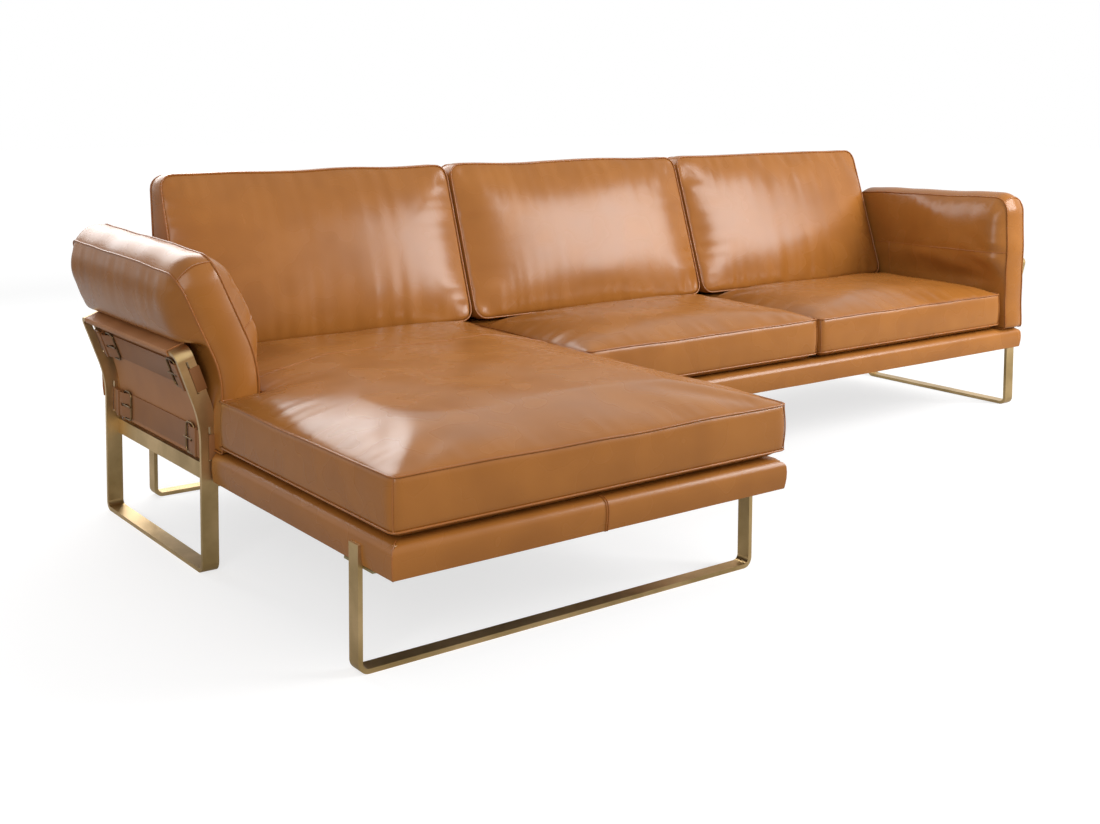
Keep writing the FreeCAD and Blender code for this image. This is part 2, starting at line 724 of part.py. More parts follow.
def armSling():
    start = d.slingInset
    end = d.armLength - d.slingInset
    half = d.armBar / 2
    top = d.flareLength
    thick = d.slingThick
    under = top - d.barThick
    band = flaredBand(d.slingOffset, d.slingOffset + thick, d.slingBottom, under)
    panel = prism(band, Vector(0, end - start, 0)).translated(Vector(0, start, 0))
    sleeve = block(-half - thick, half + thick, start, end, under - thick, top + thick)
    bar = block(-half, half, 0, d.armLength, under, top)
    return panel.fuse(leaning(sleeve)).cut(leaning(bar)).removeSplitter()


# One end of a belt, seen from above: across the belt is X, along it is Y, its width is Z.
heel = d.buckleFromUpright
toe = heel + d.buckleLength
beltMiddle = d.beltWidth / 2
beltInside = 4.25
beltOutside = -6.75
beltRise = heel + 4
beltLevel = toe - 5
tipStart = 40
prongSlot = 3.5
prongSlotBefore = 8
prongSlotAfter = 28
loopGap = 0.3
loopInset = 2
heelRingInset = 8
ringGap = 0.1
ringRadius = d.wireRadius + ringGap + d.leatherThick
prongNotch = 4
prongPast = 5
prongEyeWall = 2
prongGap = 0.25
prongBoreGap = 0.05
keeperFrom = 56
keeperTo = 70
keeperThick = 2
keeperGap = 0.3
acrossAll = 20


def belt():
    def run(shift):
        half = [(beltOutside, tipStart), (beltOutside, beltRise), (beltInside, beltLevel)]
        whole = half + [(x, d.armLength - y) for x, y in reversed(half)]
        return [Vector(x + shift, y, 0) for x, y in whole]

    points = run(-d.leatherThick / 2) + list(reversed(run(d.leatherThick / 2)))
    strap = prism(Part.makePolygon(points + points[:1]), Vector(0, 0, d.beltWidth))
    hole = block(
        -acrossAll, acrossAll, heel - prongSlotBefore, heel + prongSlotAfter,
        beltMiddle - prongSlot, beltMiddle + prongSlot,
    )
    return strap.cut(hole).cut(fromRear(hole))


def fromRear(shape):
    return shape.mirror(Vector(0, d.armLength / 2, 0), Vector(0, 1, 0))


def beltLoop():
    wall = d.leatherThick
    inner = d.armBar / 2 + loopGap
    bottom = loopInset
    top = d.beltWidth - loopInset
    ring = block(-wall / 2, inner + wall, -loopGap - wall, d.barThick + loopGap + wall, bottom, top)
    ring = ring.cut(block(wall / 2, inner, -loopGap, d.barThick + loopGap, bottom, top))
    tail = block(-wall / 2, wall / 2, d.barThick, heel - d.wireRadius, bottom, top)
    ringEnds = (Vector(0, heel, heelRingInset), Vector(0, heel, d.beltWidth - heelRingInset))
    eye = rod(ringRadius, *ringEnds)
    tail = tail.cut(block(-wall, wall, heel - ringRadius, heel, 0, heelRingInset))
    tail = tail.cut(block(-wall, wall, heel - ringRadius, heel, d.beltWidth - heelRingInset, d.beltWidth))
    loop = ring.fuse(tail).fuse(eye)
    loop = loop.cut(rod(d.wireRadius + ringGap, Vector(0, heel, 0), Vector(0, heel, d.beltWidth)))
    notch = block(
        -acrossAll, acrossAll, heel - ringRadius - 1, heel + acrossAll,
        beltMiddle - prongNotch, beltMiddle + prongNotch,
    )
    return loop.cut(notch).removeSplitter()


def buckleFrame():
    low = (d.beltWidth - d.buckleHeight) / 2
    high = low + d.buckleHeight
    r = d.buckleCorner
    k = r * (1 - cos(radians(45)))
    path = outline(
        Vector(0, heel, low + r),
        (Vector(0, heel, high - r),),
        (Vector(0, heel + k, high - k), Vector(0, heel + r, high)),
        (Vector(0, toe - r, high),),
        (Vector(0, toe - k, high - k), Vector(0, toe, high - r)),
        (Vector(0, toe, low + r),),
        (Vector(0, toe - k, low + k), Vector(0, toe - r, low)),
        (Vector(0, heel + r, low),),
        (Vector(0, heel + k, low + k), Vector(0, heel, low + r)),
    )
    circle = Part.Circle(Vector(0, heel, low + r), Vector(0, 0, 1), d.wireRadius)
    return path.makePipeShell([Part.Wire(circle.toShape())], True, False)


def prong():
    reach = d.wireRadius + d.prongRadius + prongGap
    eyeHalf = prongNotch - 1
    eyeEnds = [Vector(0, heel, beltMiddle + end) for end in (-eyeHalf, eyeHalf)]
    eye = rod(d.wireRadius + prongEyeWall, *eyeEnds)
    pin = rod(d.prongRadius, Vector(-reach, heel, beltMiddle), Vector(-reach, toe + prongPast, beltMiddle))
    bore = rod(d.wireRadius + prongBoreGap, Vector(0, heel, 0), Vector(0, heel, d.beltWidth))
    return eye.fuse(pin).cut(bore).removeSplitter()


def keeper():
    x0 = beltOutside - d.leatherThick / 2 - keeperGap
    x1 = d.leatherThick / 2 + keeperGap
    z0 = -keeperGap
    z1 = d.beltWidth + keeperGap
    wall = keeperThick
    outer = block(x0 - wall, x1 + wall, keeperFrom, keeperTo, z0 - wall, z1 + wall)
    return outer.cut(block(x0, x1, keeperFrom, keeperTo, z0, z1))


def onLowerBelt(shape):
    return shape.translated(Vector(barMiddle, 0, d.lowerBelt))


def onUpperBelt(shape):
    return leaning(shape, d.upperBeltAlong)


def fourTimes(shape):
    ends = (shape, fromRear(shape))
    return Part.makeCompound([place(end) for place in (onUpperBelt, onLowerBelt) for end in ends])


# Arm cushion in two halves that fold about the tilt axis
tiltAxis = Vector(d.hingeInset, 0, d.hingeHeight)
padStart = -d.armNose
padEnd = d.armLength + d.armTail
padLength = padEnd - padStart
knuckle = d.armHalf
hollow = d.armHalf + d.knuckleGap
strapThick = 5
strapHalf = 14
strapInset = 60
strapPlaces = (strapInset, d.armLength - strapInset - 2 * strapThick)
pinRadius = 6
pinGap = 0.06
bracketGap = 0.3
upperReach = 200
footLength = 30
footThick = 4
padLift = 0.5
padBottom = baseTop + padLift
padFoot = 5
padFootRise = 12
padSwell = 10
foldSpare = 2
uprightGap = 4
loopSpace = 45
padEdge = 12
endCrown = 3
swellRun = 110
sliceGap = 1
sliceRise = 6


def aboutAxis(p, q, y=0.0):
    return tiltAxis + Vector(p, y, q)


def lowerPad():
    h = d.armHalf
    cut = radians(d.armTilt + foldSpare)
    rise = padBottom + padFootRise
    middle = (rise + tiltAxis.z) / 2
    foldLow = -hollow * sin(cut)
    profile = outline(
        Vector(tiltAxis.x - h + padFoot, padStart, padBottom),
        (Vector(tiltAxis.x + h - padFoot, padStart, padBottom),),
        (Vector(tiltAxis.x + h, padStart, rise),),
        (Vector(tiltAxis.x + h + padSwell, padStart, middle), aboutAxis(hollow, 0, padStart)),
        (aboutAxis(0, -hollow, padStart), aboutAxis(-hollow * cos(cut), foldLow, padStart)),
        (aboutAxis(-h, foldLow - padFootRise, padStart),),
        (Vector(tiltAxis.x - h, padStart, rise),),
    )
    cushion = prism(profile, Vector(0, padLength, 0))
    clear = barMiddle + d.armBar / 2 + uprightGap
    for y0, y1 in ((-uprightGap, loopSpace), (d.armLength - loopSpace, padEnd)):
        cushion = cushion.cut(block(-clear, clear, y0, y1, 0, d.hingeHeight))
    return cushion.cut(lowerBracketBlank())


def upperPad(climb):
    """The tilting half, upright; its top rises by climb from front to rear."""
    h = d.armHalf
    s = knuckle * sin(radians(45))

    def section(y, crown):
        top = d.armRise + climb * (y - padStart) / padLength
        return outline(
            aboutAxis(h, 0, y),
            (aboutAxis(h + crown, top / 2, y), aboutAxis(h, top - padEdge, y)),
            (aboutAxis(h - padEdge / 2, top, y),),
            (aboutAxis(0, top + crown / 2, y), aboutAxis(padEdge / 2 - h, top, y)),
            (aboutAxis(-h, top - padEdge, y),),
            (aboutAxis(-h - crown, top / 2, y), aboutAxis(-h, 0, y)),
            (aboutAxis(-s, -s, y), aboutAxis(0, -knuckle, y)),
            (aboutAxis(s, -s, y), aboutAxis(h, 0, y)),
        )

    stations = (
        (padStart, endCrown), (padStart + swellRun, d.armCrown),
        (padEnd - swellRun, d.armCrown), (padEnd, endCrown),
    )
    cushion = Part.makeLoft([section(y, crown) for y, crown in stations], True, False)
    r = d.armCorner
    k = r * (1 - cos(radians(45)))
    high = tiltAxis.z + d.armRise + d.armCrown
    rearHigh = high + climb
    low = tiltAxis.z - knuckle - 1
    left = tiltAxis.x - 2 * h
    side = outline(
        Vector(left, padStart, low),
        (Vector(left, padStart, high - r),),
        (Vector(left, padStart + k, high - k), Vector(left, padStart + r, high)),
        (Vector(left, padEnd - r, rearHigh),),
        (Vector(left, padEnd - k, rearHigh - k), Vector(left, padEnd, rearHigh - r)),
        (Vector(left, padEnd, low),),
    )
    cushion = cushion.common(prism(side, Vector(4 * h, 0, 0)))
    for y in strapPlaces:
        start = y - sliceGap
        end = y + 2 * strapThick + bracketGap + sliceGap
        cushion = cushion.cut(block(left, left + 4 * h, start, end, low, tiltAxis.z + strapHalf + sliceRise))
    return cushion.cut(upperBracketBlank())


def leaf(y, low, high):
    """A strip with a round end on the tilt axis."""
    strip = block(tiltAxis.x - strapHalf, tiltAxis.x + strapHalf, y, y + strapThick, low, high)
    return strip.fuse(rod(strapHalf, aboutAxis(0, 0, y), aboutAxis(0, 0, y + strapThick))).removeSplitter()


def lowerBracketBlank():
    pieces = []
    for y in strapPlaces:
        footTop = padBottom + footThick
        foot = block(
            tiltAxis.x - strapHalf, tiltAxis.x + strapHalf, y - footLength, y, padBottom, footTop
        )
        pieces.append(leaf(y, padBottom, tiltAxis.z).fuse(foot))
    return Part.makeCompound(pieces)


def lowerBracket():
    pieces = []
    for strip, y in zip(lowerBracketBlank().Solids, strapPlaces):
        pin = rod(pinRadius, aboutAxis(0, 0, y), aboutAxis(0, 0, y + 2 * strapThick + bracketGap))
        pieces.append(strip.fuse(pin).removeSplitter())
    return Part.makeCompound(pieces)


def upperBracketBlank():
    pieces = [leaf(y + strapThick + bracketGap, tiltAxis.z, tiltAxis.z + upperReach) for y in strapPlaces]
    start = strapPlaces[0] + 2 * strapThick + bracketGap
    end = strapPlaces[1] + strapThick + bracketGap
    rail = block(
        tiltAxis.x - strapThick, tiltAxis.x + strapThick, start, end,
        tiltAxis.z + upperReach - 2 * strapHalf, tiltAxis.z + upperReach,
    )
    return pieces[0].fuse(rail).fuse(pieces[1]).removeSplitter()


def upperBracket():
    bracket = upperBracketBlank()
    for y in strapPlaces:
        bore = rod(pinRadius + pinGap, aboutAxis(0, 0, y), aboutAxis(0, 0, y + 4 * strapThick))
        bracket = bracket.cut(bore)
    return bracket


def tilted(shape, angle):
    shape = shape.copy()
    shape.rotate(tiltAxis, Vector(0, 1, 0), -angle)
    return shape


def mirroredPart(label, source):
    """The right arm's piece: the left arm's, mirrored across the sofa."""
    mirrored = doc.addObject("Part::Mirroring", label)
    mirrored.Source = source
    mirrored.Normal = Vector(1, 0, 0)
    shift = "@rightArmFront - @leftArmFront"
    bind(mirrored, {"Base.x": "@sofaEnd / 2 - @originX", "Placement.Base.y": shift})
    mirrored.Label = label
    parts.append(mirrored)
    return mirrored


def inPlace(shape, front, mirrored):
    shape = shape.translated(Vector(0, front, 0))
    if mirrored:
        shape = shape.mirror(Vector(d.sofaEnd / 2, 0, 0), Vector(1, 0, 0))
    return shape


fixedShapes = (
    ("sling", armSling()),
    ("upper_belt", onUpperBelt(belt())),
    ("lower_belt", onLowerBelt(belt())),
    ("belt_loops", fourTimes(beltLoop())),
    ("buckle_frames", fourTimes(buckleFrame())),
    ("keepers", fourTimes(keeper())),
    ("upper_front_prong", onUpperBelt(prong())),
    ("upper_rear_prong", onUpperBelt(fromRear(prong()))),
    ("lower_front_prong", onLowerBelt(prong())),
    ("lower_rear_prong", onLowerBelt(fromRear(prong()))),
    ("lower_pad", lowerPad()),
    ("lower_bracket", lowerBracket()),
)
leftPieces = {"frame": armFrame("left_arm_frame"), "cross_rail": crossRail("left_arm_cross_rail")}
for piece, shape in fixedShapes:
    leftPieces[piece] = shapePart(f"left_arm_{piece}", inPlace(shape, d.leftArmFront, False))
for piece, source in leftPieces.items():
    mirroredPart(f"right_arm_{piece}", source)
for side, front, climb, angle, mirrored in (
    ("left", d.leftArmFront, d.leftArmClimb, d.armTilt, False),
    ("right", d.rightArmFront, d.rightArmClimb, 0, True),
):
    for piece, shape in (("upper_pad", upperPad(climb)), ("upper_bracket", upperBracket())):
        shapePart(f"{side}_arm_{piece}", inPlace(tilted(shape, angle), front, mirrored))


# Backs: timber frame in a padded cover, standing on the bases


def backrest(prefix, left, right):
    lean = tan(radians(d.backrestLean))
    edge = d.backrestPad

    def slab(x0, x1, inset, top):
        bottom = baseTop
        front = d.backrestFront + inset
        rear = d.backrestFront + d.backrestThick - inset
        shift = lean * (top - bottom)
        wire = Part.makePolygon(
            [
                Vector(x0, front, bottom), Vector(x0, rear, bottom), Vector(x0, rear + shift, top),
                Vector(x0, front + shift, top), Vector(x0, front, bottom),
            ]
        )
        return prism(wire, Vector(x1 - x0, 0, 0))

    body = slab(left, right, 0, d.backrestTop)
    body = body.makeFillet(d.backrestRound, [rim for rim in body.Edges if rim.CenterOfMass.z > baseTop + 1])
    core = slab(left + edge, right - edge, edge, d.backrestTop - edge)
    bays = max(1, round((right - left) / d.backrestBay))
    stile = d.backrestStile
    bay = (right - left - 2 * edge - (bays + 1) * stile) / bays
    frame = core
    for index in range(bays):
        x0 = left + edge + stile + index * (bay + stile)
        frame = frame.cut(block(x0, x0 + bay, 0, 2 * d.baseDepth, baseTop + stile, d.backrestTop - stile))
    shapePart(f"{prefix}_back_frame", frame)
    shapePart(f"{prefix}_back_cover", body.cut(core))


backrest("chaise", d.backrestEnd, d.chaiseWidth - d.backrestEnd)
backrest("sofa", sofaLeft + d.backrestEnd, d.sofaEnd - d.backrestEnd)

# Seat cushions: crowned tops, swelling sides, edges rolled under
seatBottom = baseTop + padLift
sideSwell = 5
rolled = 14
flatCrown = 4
frontRise = 70
underBack = 8
armSide = 4
armEnd = 5


def seatSection(y, left, right, crown, drawn):
    x0 = left + sideSwell + drawn
    x1 = right - sideSwell - drawn
    middle = (d.seatLow + d.seatSeam) / 2
    return outline(
        Vector(x0 + rolled, y, seatBottom),
        (Vector(x1 - rolled, y, seatBottom),),
        (Vector(x1, y, d.seatLow),),
        (Vector(x1 + sideSwell, y, middle), Vector(x1, y, d.seatSeam)),
        (Vector((x0 + x1) / 2, y, d.seatSeam + crown), Vector(x0, y, d.seatSeam)),
        (Vector(x0 - sideSwell, y, middle), Vector(x0, y, d.seatLow)),
    )


def seatCushion(left, right, front):
    """The top rises behind the front seam and is flat again under the back cushions."""
    flat = flatCrown
    under = d.backFront - underBack
    third = (under - front) / 3
    stations = (
        (front, flat, 0), (front + frontRise, 0.75 * d.seatCrown, 2), (front + third, d.seatCrown, 4),
        (front + 2 * third, 0.85 * d.seatCrown, 4), (under, 1.6 * flat, 2), (d.seatBack, flat, 0),
    )
    sections = [seatSection(y, left, right, crown, drawn) for y, crown, drawn in stations]
    return Part.makeLoft(sections, True, False)


armInner = d.hingeInset + d.armHalf + d.armCrown + armSide
chaiseRight = d.chaiseWidth + sideSwell
chaiseSeat = seatCushion(-sideSwell, chaiseRight, -sideSwell)
besideArm = block(-armInner, armInner, d.leftArmFront - d.armNose - armEnd, d.baseDepth, 0, d.backTop)
shapePart("chaise_cushion", chaiseSeat.cut(besideArm))
sofaSeatFront = d.sofaFront - sideSwell
middleEnd = d.seatSplit - d.seatGap / 2
rightStart = d.seatSplit + d.seatGap / 2
shapePart("middle_seat_cushion", seatCushion(chaiseRight + d.seatGap, middleEnd, sofaSeatFront))
shapePart("right_seat_cushion", seatCushion(rightStart, d.sofaEnd - armInner, sofaSeatFront))


# Back cushions: wedges with a swelling front panel, thin at the top


backRoll = 8
backTopThick = 62
backTopFall = 5
backGap = 10
backEndCrown = 6
backEndRun = 130


def backSection(x, crown, drawn):
    lean = tan(radians(d.backLean))
    low = d.backBottom + backRoll
    frontLow = Vector(x, d.backFront + drawn, low)
    frontTop = Vector(x, d.backFront + lean * (d.backTop - low) + drawn / 2, d.backTop - drawn)
    rearTop = Vector(x, frontTop.y + backTopThick - drawn, d.backTop - backTopFall - drawn)
    rearLow = Vector(x, d.backrestFront - backGap, low)
    out = Vector(0, -cos(radians(d.backLean)), sin(radians(d.backLean)))
    rearSwell = 0.2 * crown
    return outline(
        Vector(x, frontLow.y + rolled, d.backBottom),
        (Vector(x, rearLow.y - rolled, d.backBottom),),
        (rearLow,),
        ((rearLow + rearTop) * 0.5 + Vector(0, rearSwell, 0), rearTop),
        ((rearTop + frontTop) * 0.5 + Vector(0, 0, flatCrown + 0.1 * crown), frontTop),
        ((frontTop + frontLow) * 0.5 + out * crown, frontLow),
    )


def backCushion(left, right):
    near = left + backEndRun
    far = right - backEndRun
    middle = (left + right) / 2
    stations = (
        (left, backEndCrown, 4), (near, 0.8 * d.backCrown, 0), (middle, d.backCrown, 3),
        (far, 0.8 * d.backCrown, 0), (right, backEndCrown, 4),
    )
    return Part.makeLoft([backSection(*station) for station in stations], True, False)


shapePart("left_back_cushion", backCushion(armInner + armSide, chaiseRight - d.seatGap))
shapePart("middle_back_cushion", backCushion(chaiseRight, middleEnd))
shapePart("right_back_cushion", backCushion(rightStart, d.sofaEnd - armInner - armSide))

# The origin goes to the middle of the footprint.
doc.recompute()
footprint = FreeCAD.BoundBox()
for part in parts:
    footprint.add(part.Shape.optimalBoundingBox(False))
sheet.set("originX", str(footprint.Center.x))
sheet.set("originY", str(footprint.Center.y))
doc.recompute()

for item in doc.Objects:
    if "Invalid" in item.State or "Error" in item.State:
        raise RuntimeError(f"{item.Label} failed: {item.State}")
for part in parts:
    if part.Shape.isNull() or not part.Shape.isValid():
        raise RuntimeError(f"{part.Label} has no valid shape")

os.makedirs("parts", exist_ok=True)
for part in parts:
    part.Shape.exportStep(f"parts/{part.Label}.step")
overall = (footprint.XLength, footprint.YLength, footprint.ZLength)
print(f"{len(parts)} parts, origin {footprint.Center}, size {overall}")
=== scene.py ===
import json
import math
import bpy
from mathutils import Matrix, Vector, noise


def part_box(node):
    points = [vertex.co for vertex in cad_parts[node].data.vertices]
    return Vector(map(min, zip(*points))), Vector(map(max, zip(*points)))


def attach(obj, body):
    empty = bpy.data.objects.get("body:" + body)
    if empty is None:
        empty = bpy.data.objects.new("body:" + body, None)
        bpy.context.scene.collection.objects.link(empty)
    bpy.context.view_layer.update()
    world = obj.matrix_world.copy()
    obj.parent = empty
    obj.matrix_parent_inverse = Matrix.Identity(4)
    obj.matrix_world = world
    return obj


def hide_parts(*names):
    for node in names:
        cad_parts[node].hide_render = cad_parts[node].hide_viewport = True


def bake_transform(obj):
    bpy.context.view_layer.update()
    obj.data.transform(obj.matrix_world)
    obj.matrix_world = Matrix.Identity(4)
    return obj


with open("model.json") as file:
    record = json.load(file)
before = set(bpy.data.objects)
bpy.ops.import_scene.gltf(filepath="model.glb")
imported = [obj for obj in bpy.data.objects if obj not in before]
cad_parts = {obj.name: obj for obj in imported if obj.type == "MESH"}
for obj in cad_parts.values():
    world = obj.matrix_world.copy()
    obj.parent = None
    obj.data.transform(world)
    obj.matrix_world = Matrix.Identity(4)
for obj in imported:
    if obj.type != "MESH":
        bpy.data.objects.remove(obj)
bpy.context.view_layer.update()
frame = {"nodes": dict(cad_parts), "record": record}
mm = 0.001
scene = bpy.context.scene
scene.view_settings.view_transform = "Standard"
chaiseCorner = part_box("chaise_base_cover")[0]  # left front corner of the chaise, the point that sizes start from
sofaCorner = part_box("sofa_base_cover")[1]  # right rear corner of the two-seat part


def place(x, y, z):
    return Vector((chaiseCorner.x + x * mm, chaiseCorner.y + y * mm, z * mm))


def sideX(side, out):
    # a place by its distance in from the left or right side of the bases
    return chaiseCorner.x + out * mm if side == "left" else sofaCorner.x - out * mm


def editMode():
    bpy.ops.object.mode_set(mode="EDIT")


def objectMode():
    bpy.ops.object.mode_set(mode="OBJECT")


def selectNone(kind):
    editMode()
    bpy.ops.mesh.select_mode(type=kind)
    bpy.ops.mesh.select_all(action="DESELECT")


def setMaterial(piece, material):
    piece.data.materials.clear()
    piece.data.materials.append(material)


def clearSelection():
    if bpy.context.object and bpy.context.object.mode != "OBJECT":
        objectMode()
    bpy.ops.object.select_all(action="DESELECT")


def pick(piece):
    clearSelection()
    piece.select_set(True)
    bpy.context.view_layer.objects.active = piece


def smooth(t):
    t = min(1.0, max(0.0, t))
    return t * t * (3 - 2 * t)


# Materials

def linearColor(hexText):
    channels = [int(hexText[i:i + 2], 16) / 255 for i in (1, 3, 5)]
    return [c / 12.92 if c <= 0.04045 else ((c + 0.055) / 1.055) ** 2.4 for c in channels] + [1.0]


def addNode(tree, kind, links=None, **settings):
    node = tree.nodes.new(kind)
    for key, value in settings.items():
        if key in node.inputs:
            node.inputs[key].default_value = value
        else:
            setattr(node, key, value)
    for socket, source in (links or {}).items():
        tree.links.new(source, node.inputs[socket])
    return node


def startMaterial(name):
    material = bpy.data.materials.new(name)
    material.use_nodes = True
    tree = material.node_tree
    shader = tree.nodes["Principled BSDF"]
    where = addNode(tree, "ShaderNodeTexCoord").outputs["Object"]
    return material, tree, shader, where


def perMetre(sizeMm):
    return 1000.0 / sizeMm


def noiseOf(tree, where, sizeMm, detail):
    return addNode(tree, "ShaderNodeTexNoise", {"Vector": where}, Scale=perMetre(sizeMm), Detail=detail).outputs["Fac"]


def combine(tree, operation, first, second):
    node = addNode(tree, "ShaderNodeMath", {0: first}, operation=operation)
    if isinstance(second, float):
        node.inputs[1].default_value = second
    else:
        tree.links.new(second, node.inputs[1])
    return node.outputs[0]


def mapRange(tree, value, fromRange, toRange, **settings):
    ends = {"From Min": fromRange[0], "From Max": fromRange[1], "To Min": toRange[0], "To Max": toRange[1]}
    return addNode(tree, "ShaderNodeMapRange", {"Value": value}, **settings, **ends).outputs["Result"]


def colorRamp(tree, source, positions, colors):
    stops = list(zip(positions, colors))
    ramp = addNode(tree, "ShaderNodeValToRGB", {"Fac": source})
    while len(ramp.color_ramp.elements) < len(stops):
        ramp.color_ramp.elements.new(0.5)
    for element, (position, color) in zip(ramp.color_ramp.elements, stops):
        element.position = position
        element.color = linearColor(color)
    return ramp.outputs["Color"]


# Waxed pull-up cowhide, drum dyed: the wax moves where the hide is stretched, so the tan is softly cloudy,
# with a broad low polish. The pores are nearly flat, since deeper ones show as specks from this far.
hide = {
    "dark": "#8E5825", "middle": "#9A6129", "pale": "#A66B2F", "stops": (0.2, 0.5, 0.8),
    "cloudMm": 420, "cloudDetail": 3.0, "mottleMm": 95, "mottleDetail": 1.0,
    "roughness": 0.27, "polish": 0.04, "polishFrom": (0.1, 0.9), "ior": 1.35,
    "poreMm": 4, "poreBump": 0.005, "poreDeep": 0.0006,  # real pores are about 1 mm, drawn coarser to show
    "creaseMm": 26, "creaseDetail": 1.0, "creaseBump": 0.05, "creaseDeep": 0.0015,
}


def makeLeather(name, look, depth=1.0):
    material, tree, shader, where = startMaterial(name)
    cloud = noiseOf(tree, where, look["cloudMm"], look["cloudDetail"])
    mottle = noiseOf(tree, where, look["mottleMm"], look["mottleDetail"])
    halfway = combine(tree, "MULTIPLY", combine(tree, "ADD", cloud, mottle), 0.5)
    tone = colorRamp(tree, halfway, look["stops"], (look["dark"], look["middle"], look["pale"]))
    tree.links.new(tone, shader.inputs["Base Color"])
    rough, polish = look["roughness"], look["polish"]
    shine = mapRange(tree, mottle, look["polishFrom"], (rough - polish, rough + polish))
    tree.links.new(shine, shader.inputs["Roughness"])
    pores = addNode(tree, "ShaderNodeTexVoronoi", {"Vector": where}, Scale=perMetre(look["poreMm"]))
    creases = noiseOf(tree, where, look["creaseMm"], look["creaseDetail"])
    grain = addNode(
        tree, "ShaderNodeBump", {"Height": pores.outputs["Distance"]},
        Strength=look["poreBump"] * depth, Distance=look["poreDeep"],
    )
    soft = addNode(
        tree, "ShaderNodeBump", {"Height": creases, "Normal": grain.outputs["Normal"]},
        Strength=look["creaseBump"] * depth, Distance=look["creaseDeep"],
    )
    tree.links.new(soft.outputs["Normal"], shader.inputs["Normal"])
    shader.inputs["IOR"].default_value = look["ior"]
    return material


# Steel flat bar, brushed and plated antique brass: a fine satin grain, browned in places
brassBar = {
    "dark": "#B09463", "pale": "#D2B482", "stops": (0.35, 0.65), "patchMm": 120, "patchDetail": 4.0,
    "lineMm": 1.6, "lineDetail": 2.0, "lineBump": 0.06, "lineDeep": 0.0004,
    "roughness": 0.36, "smoother": 0.06, "rougher": 0.1, "wearFrom": (0.3, 0.7),
}


def makeBrass(name, look):
    material, tree, shader, where = startMaterial(name)
    brushed = noiseOf(tree, where, look["lineMm"], look["lineDetail"])
    patch = noiseOf(tree, where, look["patchMm"], look["patchDetail"])
    tone = colorRamp(tree, patch, look["stops"], (look["dark"], look["pale"]))
    tree.links.new(tone, shader.inputs["Base Color"])
    rough = look["roughness"]
    wear = mapRange(tree, brushed, look["wearFrom"], (rough - look["smoother"], rough + look["rougher"]))
    tree.links.new(wear, shader.inputs["Roughness"])
    rub = addNode(tree, "ShaderNodeBump", {"Height": brushed}, Strength=look["lineBump"], Distance=look["lineDeep"])
    tree.links.new(rub.outputs["Normal"], shader.inputs["Normal"])
    shader.inputs["Metallic"].default_value = 1.0
    return material


leather = makeLeather("waxedPullUpHide", hide)
# the welt is the same hide drawn tight round a cord, so its grain is flatter
weltTones = {"dark": "#8A5326", "middle": "#985D2B", "pale": "#A56934"}
welt = makeLeather("hideOverCord", {**hide, **weltTones}, depth=0.4)
# saddle leather, thick and firm: flat, browner and with little polish
saddleTones = {"dark": "#966039", "middle": "#A77044", "pale": "#B57E52", "roughness": 0.5}
slingHide = makeLeather("firmSaddleHide", {**hide, **saddleTones})
# the belts are the same saddle leather, dyed darker
beltTones = {**saddleTones, "dark": "#7C4E2B", "middle": "#8B5B34", "pale": "#9A683E"}
beltHide = makeLeather("cutSaddleStrap", {**hide, **beltTones})
# waxed linen thread, paler than the hide it is sewn through
threadTones = {"dark": "#B08A5E", "middle": "#BD976A", "pale": "#C8A378"}
thread = makeLeather("waxedLinenThread", {**hide, **threadTones}, depth=0.2)
brass = makeBrass("brushedAntiqueBrass", brassBar)
# bronze wire, dark with handling and rubbed bright
bronze = makeBrass("rubbedBronzeWire", {**brassBar, "dark": "#655034", "pale": "#8C714C", "roughness": 0.3})
# zinc plate with a yellow passivate: a thin gold cast over bright steel
steel = makeBrass("yellowZincPlate", {**brassBar, "dark": "#8E7F58", "pale": "#B3A57C", "roughness": 0.42})

# planed beech: pale, with darker growth lines along the rail
beech = {
    "tones": ("#B58E62", "#CFAE84"), "stops": (0.1, 0.9), "bandMm": 60, "wander": 6.0, "detail": 3.0, "roughness": 0.55,
}
# woven elastic webbing: black yarn in close ribs
elastic = {
    "tones": ("#17171A", "#2C2C30"), "stops": (0.2, 0.8), "bandMm": 9, "wander": 0.4, "detail": 2.0, "roughness": 0.85,
}


def makeBanded(name, look):
    material, tree, shader, where = startMaterial(name)
    bands = addNode(
        tree, "ShaderNodeTexWave", {"Vector": where},
        Scale=perMetre(look["bandMm"]), Distortion=look["wander"], Detail=look["detail"],
    )
    tone = colorRamp(tree, bands.outputs["Fac"], look["stops"], look["tones"])
    tree.links.new(tone, shader.inputs["Base Color"])
    shader.inputs["Roughness"].default_value = look["roughness"]
    return material


finishes = {
    "leather": leather, "belt_leather": beltHide, "antique_brass": brass, "bronze_wire": bronze,
    "timber": makeBanded("planedBeech", beech), "webbing": makeBanded("wovenElastic", elastic), "steel": steel,
}
for row in frame["record"]["subparts"]:
    node = frame["nodes"][row["node"]]
    setMaterial(node, finishes[row["material_slot"]])
print("materials done")


# Padded pieces: two panels and the boxing strip between them, filled by pressure while the seams hold.
# Their lengths are in mm, the distances over which a swell, gather or dip fades in metres.

